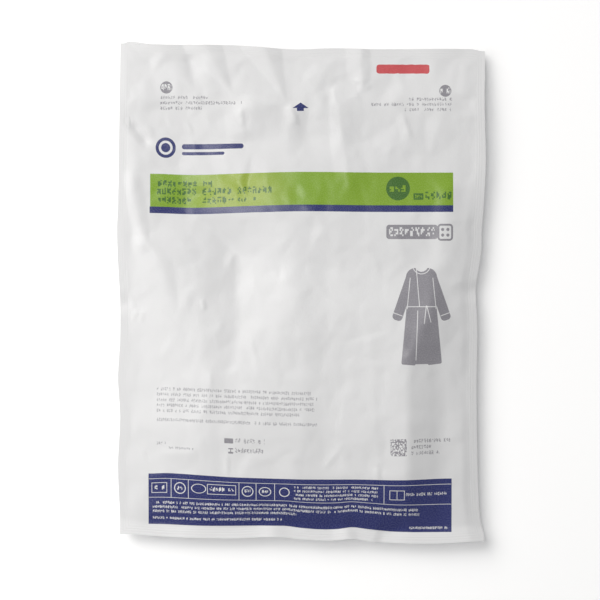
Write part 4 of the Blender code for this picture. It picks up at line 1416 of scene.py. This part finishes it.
def gown_outline(inset):
    """Points round the folded gown, a rectangle with round corners, anticlockwise."""
    edge = SEAL_WIDTH + GOWN_EDGE + inset
    x_low = -0.5 * POUCH_WIDTH + edge + deepest_inset(LEFT_EDGE)
    x_high = 0.5 * POUCH_WIDTH - edge - deepest_inset(RIGHT_EDGE)
    foot = SEAL_WIDTH + GOWN_FOOT + inset
    y_low = -0.5 * POUCH_LENGTH + foot + deepest_inset(BOTTOM_EDGE)
    header = HEADER_LENGTH + GOWN_EDGE + inset
    y_high = 0.5 * POUCH_LENGTH - header - deepest_inset(TOP_EDGE)
    radius = max(LEAST_CORNER, GOWN_CORNER - 0.5 * inset)
    corners = [
        (x_high - radius, y_low + radius, -90.0),
        (x_high - radius, y_high - radius, 0.0),
        (x_low + radius, y_high - radius, 90.0),
        (x_low + radius, y_low + radius, 180.0),
    ]
    arcs = []
    for x, y, start in corners:
        angles = np.radians(start + 90.0 * np.arange(CORNER_STEPS + 1) / CORNER_STEPS)
        arcs.append(np.stack([x + radius * np.cos(angles), y + radius * np.sin(angles)], 1))
    shares = np.arange(1, SIDE_STEPS)[:, None] / SIDE_STEPS
    points = []
    for arc, following in zip(arcs, arcs[1:] + arcs[:1]):
        points += [arc, arc[-1] + shares * (following[0] - arc[-1])]
    return np.concatenate(points)


def gown_ceiling(x, y, thickness):
    """Lowest height of the front film's underside at places and near them."""
    def underside(px, py):
        return seam_height(px, py) + front_rise(px, py) + 0.5 * thickness

    lowest = underside(x, y)
    for span in GOWN_SPANS:
        for turn in range(8):
            angle = 0.25 * math.pi * turn
            near = underside(x + span * math.cos(angle), y + span * math.sin(angle))
            lowest = np.minimum(lowest, near)
    return lowest


def gown_heights(x, y, share, thickness):
    """Heights in the folded gown: share 0 on the back film, 1 under the front film."""
    seam = seam_height(x, y)
    back = seam + back_fullness(x, y) * (thickness - seam)
    low = back + GOWN_SEAT + GOWN_LIFT * (1.0 - back_fullness(x, y))
    high = np.maximum(low + GOWN_LEAST, gown_ceiling(x, y, thickness) - GOWN_CLEARANCE)
    sway = RIPPLE_SWAY * np.sin(SWAYS * y)
    ripple = GOWN_RIPPLE * np.sin(RIPPLES * x + sway) * share
    return low + share * (high - low - GOWN_RIPPLE) + ripple


def gown_sections():
    """Inset and height share of each ring, from the underside up and in over the top."""
    sections = list(FOOT_SECTIONS)
    for layer in range(GOWN_LAYERS):
        for share in LAYER_SHARES:
            bulge = LAYER_BULGE * math.cos(2.0 * math.pi * (share - 0.5))
            sections.append((LAYER_INSET - bulge, (layer + share) / GOWN_LAYERS))
    sections += [(inset, 1.0) for inset in TOP_INSETS]
    return sections


def gown_mesh(thickness):
    """The folded gown: one rounded stack whose layers show at its sides."""
    points = []
    for inset, share in gown_sections():
        outline = gown_outline(inset)
        x, y = outline[:, 0], outline[:, 1]
        points.append(np.stack([x, y, gown_heights(x, y, share, thickness)], 1))
    count = len(points[0])
    ring = np.arange(count)
    following = (ring + 1) % count
    faces = []
    for level in range(len(points) - 1):
        low = level * count
        high = low + count
        faces += np.stack([low + ring, low + following, high + following, high + ring],
                          1).tolist()
    faces.append(ring[::-1].tolist())
    faces.append((ring + (len(points) - 1) * count).tolist())
    mesh = bpy.data.meshes.new("gown_stack")
    mesh.from_pydata(np.concatenate(points).tolist(), [], faces)
    mesh.validate()
    return mesh


# ---------------------------------------------------------------- what a user may change


class PouchFilmSettings(bpy.types.PropertyGroup):
    """Sizes and finish of the two films."""

    thickness: FloatProperty(
        name="Thickness", description="Thickness of each film as it is modelled",
        default=0.00025, min=0.00010, max=0.00050, unit="LENGTH", precision=5)
    cell: FloatProperty(
        name="Mesh cell", description="Size of the film's mesh cells away from the seals",
        default=0.00150, min=0.00140, max=0.00500, unit="LENGTH", precision=5)
    wrinkling: FloatProperty(
        name="Wrinkling", description="How strong the fine wrinkles are",
        default=1.0, min=0.0, max=2.0, subtype="FACTOR")
    colour: FloatVectorProperty(
        name="Film", description="Colour of the bare film",
        default=(0.714, 0.715, 0.720), min=0.0, max=1.0, subtype="COLOR")
    roughness: FloatProperty(
        name="Roughness", description="How matt the film is",
        default=0.46, min=0.1, max=0.9, subtype="FACTOR")


class PouchInkSettings(bpy.types.PropertyGroup):
    """Colours of the print."""

    green: FloatVectorProperty(
        name="Band", description="Colour of the wide band",
        default=(0.220, 0.368, 0.034), min=0.0, max=1.0, subtype="COLOR")
    # paler green that paints the band's sheen over the oval, a painted highlight
    sheen_green: FloatVectorProperty(
        name="Thin green", description="Colour of the wide band where its ink lies thin",
        default=(0.305, 0.405, 0.055), min=0.0, max=1.0, size=3, subtype="COLOR")
    deep_green: FloatVectorProperty(
        name="Band marks", description="Colour of the marks on the band",
        default=(0.060, 0.150, 0.030), min=0.0, max=1.0, subtype="COLOR")
    navy: FloatVectorProperty(
        name="Navy", description="Colour of the stripe, the block and the emblem",
        default=(0.033, 0.040, 0.150), min=0.0, max=1.0, subtype="COLOR")
    grey: FloatVectorProperty(
        name="Grey", description="Colour of the small print and the signs",
        default=(0.275, 0.267, 0.292), min=0.0, max=1.0, subtype="COLOR")
    indicator: FloatVectorProperty(
        name="Indicator", description="Colour of the sterilisation patch",
        default=(0.620, 0.100, 0.110), min=0.0, max=1.0, subtype="COLOR")
    indicator_dark: FloatVectorProperty(
        name="Indicator grains", description="Colour of the dark grains in the patch",
        default=(0.470, 0.052, 0.062), min=0.0, max=1.0, subtype="COLOR")


class PouchGownSettings(bpy.types.PropertyGroup):
    """Finish of the folded gown."""

    colour: FloatVectorProperty(
        name="Cloth", description="Colour of the gown's cloth",
        default=(0.100, 0.100, 0.115), min=0.0, max=1.0, subtype="COLOR")


class PouchStageSettings(bpy.types.PropertyGroup):
    """Floor, lights and camera."""

    floor_size: FloatProperty(
        name="Floor", description="Length of the floor's sides",
        default=9.0, min=1.0, max=40.0, unit="LENGTH")
    floor_colour: FloatVectorProperty(
        name="Floor", description="Colour of the floor",
        default=(0.970, 0.970, 0.970), min=0.0, max=1.0, subtype="COLOR")
    floor_glow: FloatProperty(
        name="Floor glow", description="Light that comes through the floor from below",
        default=0.13, min=0.0, max=1.0, subtype="FACTOR")
    camera_height: FloatProperty(
        name="Camera", description="Height of the camera above the floor",
        default=2.4, min=0.5, max=10.0, unit="LENGTH")
    key_power: FloatProperty(
        name="Key light", description="Power of the large light at the upper left",
        default=396.0, min=0.0, max=5000.0, unit="POWER")
    side_power: FloatProperty(
        name="Side light", description="Power of the nearer light at the left",
        default=1.40, min=0.0, max=1000.0, unit="POWER")
    high_power: FloatProperty(
        name="High light", description="Power of the small light overhead that the inks catch",
        default=9.0, min=0.0, max=1000.0, unit="POWER")
    ambient: FloatProperty(
        name="Ambient", description="Brightness of the light from all round",
        default=0.31, min=0.0, max=5.0, subtype="FACTOR")
    horizon: FloatProperty(
        name="Horizon", description="Brightness of the studio walls near the floor",
        default=0.8, min=0.0, max=5.0, subtype="FACTOR")


class PouchSettings(bpy.types.PropertyGroup):
    """All that a user may change."""

    film: PointerProperty(type=PouchFilmSettings)
    inks: PointerProperty(type=PouchInkSettings)
    gown: PointerProperty(type=PouchGownSettings)
    stage: PointerProperty(type=PouchStageSettings)


class POUCH_OT_back_film(bpy.types.Operator):
    """Make the back film, flat on the surface and turned up to the seals"""

    bl_idname = "pouch.back_film"
    bl_label = "Back film"

    def execute(self, context):
        film = context.scene.pouch.film
        x, y = film_lattice(film.cell)
        outer = back_outer(x, y, film.thickness, film.wrinkling)
        mesh = film_mesh("back_film", x, y, outer, film.thickness, -1)
        add_corner_map(mesh, "OFBake", bake_places(mesh, x.size))
        add_corner_map(mesh, "film_flat", vertex_places(mesh))
        material = film_material("white_film_back", film, film.colour, None)
        piece = finish_piece(mesh, material, "back_film", "back_web")
        return {"FINISHED"}


class POUCH_OT_gown_stack(bpy.types.Operator):
    """Make the folded gown that fills the pouch"""

    bl_idname = "pouch.gown_stack"
    bl_label = "Folded gown"

    def execute(self, context):
        settings = context.scene.pouch
        mesh = gown_mesh(settings.film.thickness)
        material = gown_material(settings.gown.colour)
        piece = finish_piece(mesh, material, "gown_fabric", "folded_gown")
        return {"FINISHED"}


class POUCH_OT_front_film(bpy.types.Operator):
    """Make the printed front film, drawn over the gown and creased"""

    bl_idname = "pouch.front_film"
    bl_label = "Front film"

    def execute(self, context):
        settings = context.scene.pouch
        film = settings.film
        x, y = film_lattice(film.cell)
        outer = front_outer(x, y, film.thickness, film.wrinkling)
        mesh = film_mesh("front_film", x, y, outer, film.thickness, 1)
        add_corner_map(mesh, "OFBake", bake_places(mesh, x.size))
        places = vertex_places(mesh) / PRINT_DRAW_IN
        places[:, 1] -= print_rise(places[:, 0], places[:, 1])
        add_corner_map(mesh, "film_flat", places)
        material = film_material("white_film_printed", film, film.colour, settings.inks)
        piece = finish_piece(mesh, material, "front_film", "front_web")
        return {"FINISHED"}


class POUCH_OT_stage(bpy.types.Operator):
    """Make the pale floor, the studio light and the camera that looks straight down"""

    bl_idname = "pouch.stage"
    bl_label = "Stage and camera"

    def execute(self, context):
        stage = context.scene.pouch.stage
        make_floor(stage)
        make_light("key_light", KEY_LIGHT, stage.key_power)
        make_light("side_light", SIDE_LIGHT, stage.side_power)
        make_light("high_light", HIGH_LIGHT, stage.high_power)
        make_studio_walls(context.scene, stage)
        make_camera(context.scene, stage)
        context.scene.view_settings.view_transform = "Standard"
        return {"FINISHED"}


class POUCH_PT_panel(bpy.types.Panel):
    """Settings and steps of the gown pouch"""

    bl_idname = "POUCH_PT_panel"
    bl_label = "Gown pouch"
    bl_space_type = "VIEW_3D"
    bl_region_type = "UI"
    bl_category = "Pouch"

    def draw(self, context):
        settings = context.scene.pouch
        for group in (settings.film, settings.inks, settings.gown, settings.stage):
            box = self.layout.box()
            for name in group.__annotations__:
                box.prop(group, name)
        for operator in OPERATORS:
            self.layout.operator(operator.bl_idname)


def vertex_places(mesh):
    """The x and y of a mesh's vertices."""
    points = np.empty(len(mesh.vertices) * 3)
    mesh.vertices.foreach_get("co", points)
    return points.reshape(-1, 3)[:, :2].copy()


def make_floor(stage):
    """A pale floor that the pouch lies on."""
    half = 0.5 * stage.floor_size
    mesh = bpy.data.meshes.new("floor")
    corners = [(-half, -half, 0.0), (half, -half, 0.0), (half, half, 0.0), (-half, half, 0.0)]
    mesh.from_pydata(corners, [], [(0, 1, 2, 3)])
    mesh.materials.append(floor_material(stage.floor_colour, stage.floor_glow))
    floor = bpy.data.objects.new("floor", mesh)
    bpy.context.scene.collection.objects.link(floor)


def make_light(name, place, power):
    """A square light that faces the pouch."""
    light = bpy.data.lights.new(name, "AREA")
    light.energy = power
    light.size = place.size
    light.color = LAMP_COLOUR
    lamp = bpy.data.objects.new(name, light)
    flat = math.cos(place.elevation)
    towards = Vector((
        flat * math.cos(place.azimuth), flat * math.sin(place.azimuth), math.sin(place.elevation),
    ))
    lamp.location = place.distance * towards
    lamp.rotation_euler = towards.to_track_quat("Z", "Y").to_euler()
    bpy.context.scene.collection.objects.link(lamp)


def make_studio_walls(scene, stage):
    """Light from all round, brighter near the floor, as from pale walls."""
    world = bpy.data.worlds.new("studio")
    world.use_nodes = True
    scene.world = world
    bench = Bench(world.node_tree)
    background = world.node_tree.nodes["Background"]
    direction = bench.add("ShaderNodeTexCoord").outputs["Generated"]
    height = bench.add("ShaderNodeSeparateXYZ", {"Vector": direction}).outputs[2]
    strength = bench.ranged(height, *WALL_BAND, stage.horizon, stage.ambient)
    background.inputs["Color"].default_value = WALL_COLOUR
    bench.wire(background.inputs["Strength"], strength)


def make_camera(scene, stage):
    """A camera that looks straight down on the pouch."""
    data = bpy.data.cameras.new("camera")
    data.sensor_width = SENSOR
    data.lens = SENSOR * (stage.camera_height - RIM_HEIGHT) / FRAMED
    data.clip_start, data.clip_end = CLIP_RANGE
    camera = bpy.data.objects.new("camera", data)
    camera.location = (*FRAME_CENTRE, stage.camera_height)
    scene.collection.objects.link(camera)
    scene.camera = camera


OPERATORS = (POUCH_OT_stage, POUCH_OT_back_film, POUCH_OT_gown_stack, POUCH_OT_front_film)
CLASSES = (
    PouchFilmSettings, PouchInkSettings, PouchGownSettings, PouchStageSettings, PouchSettings,
    *OPERATORS, POUCH_PT_panel,
)


def register():
    """Make the settings, the steps and the panel known to Blender."""
    for item in CLASSES:
        bpy.utils.register_class(item)
    bpy.types.Scene.pouch = PointerProperty(type=PouchSettings)


def unregister():
    """Take them out again."""
    del bpy.types.Scene.pouch
    for item in reversed(CLASSES):
        bpy.utils.unregister_class(item)


def main():
    """Make every piece in order."""
    register()
    bpy.ops.pouch.stage()
    bpy.ops.pouch.back_film()
    bpy.ops.pouch.gown_stack()
    bpy.ops.pouch.front_film()


if __name__ == "__main__":
    main()
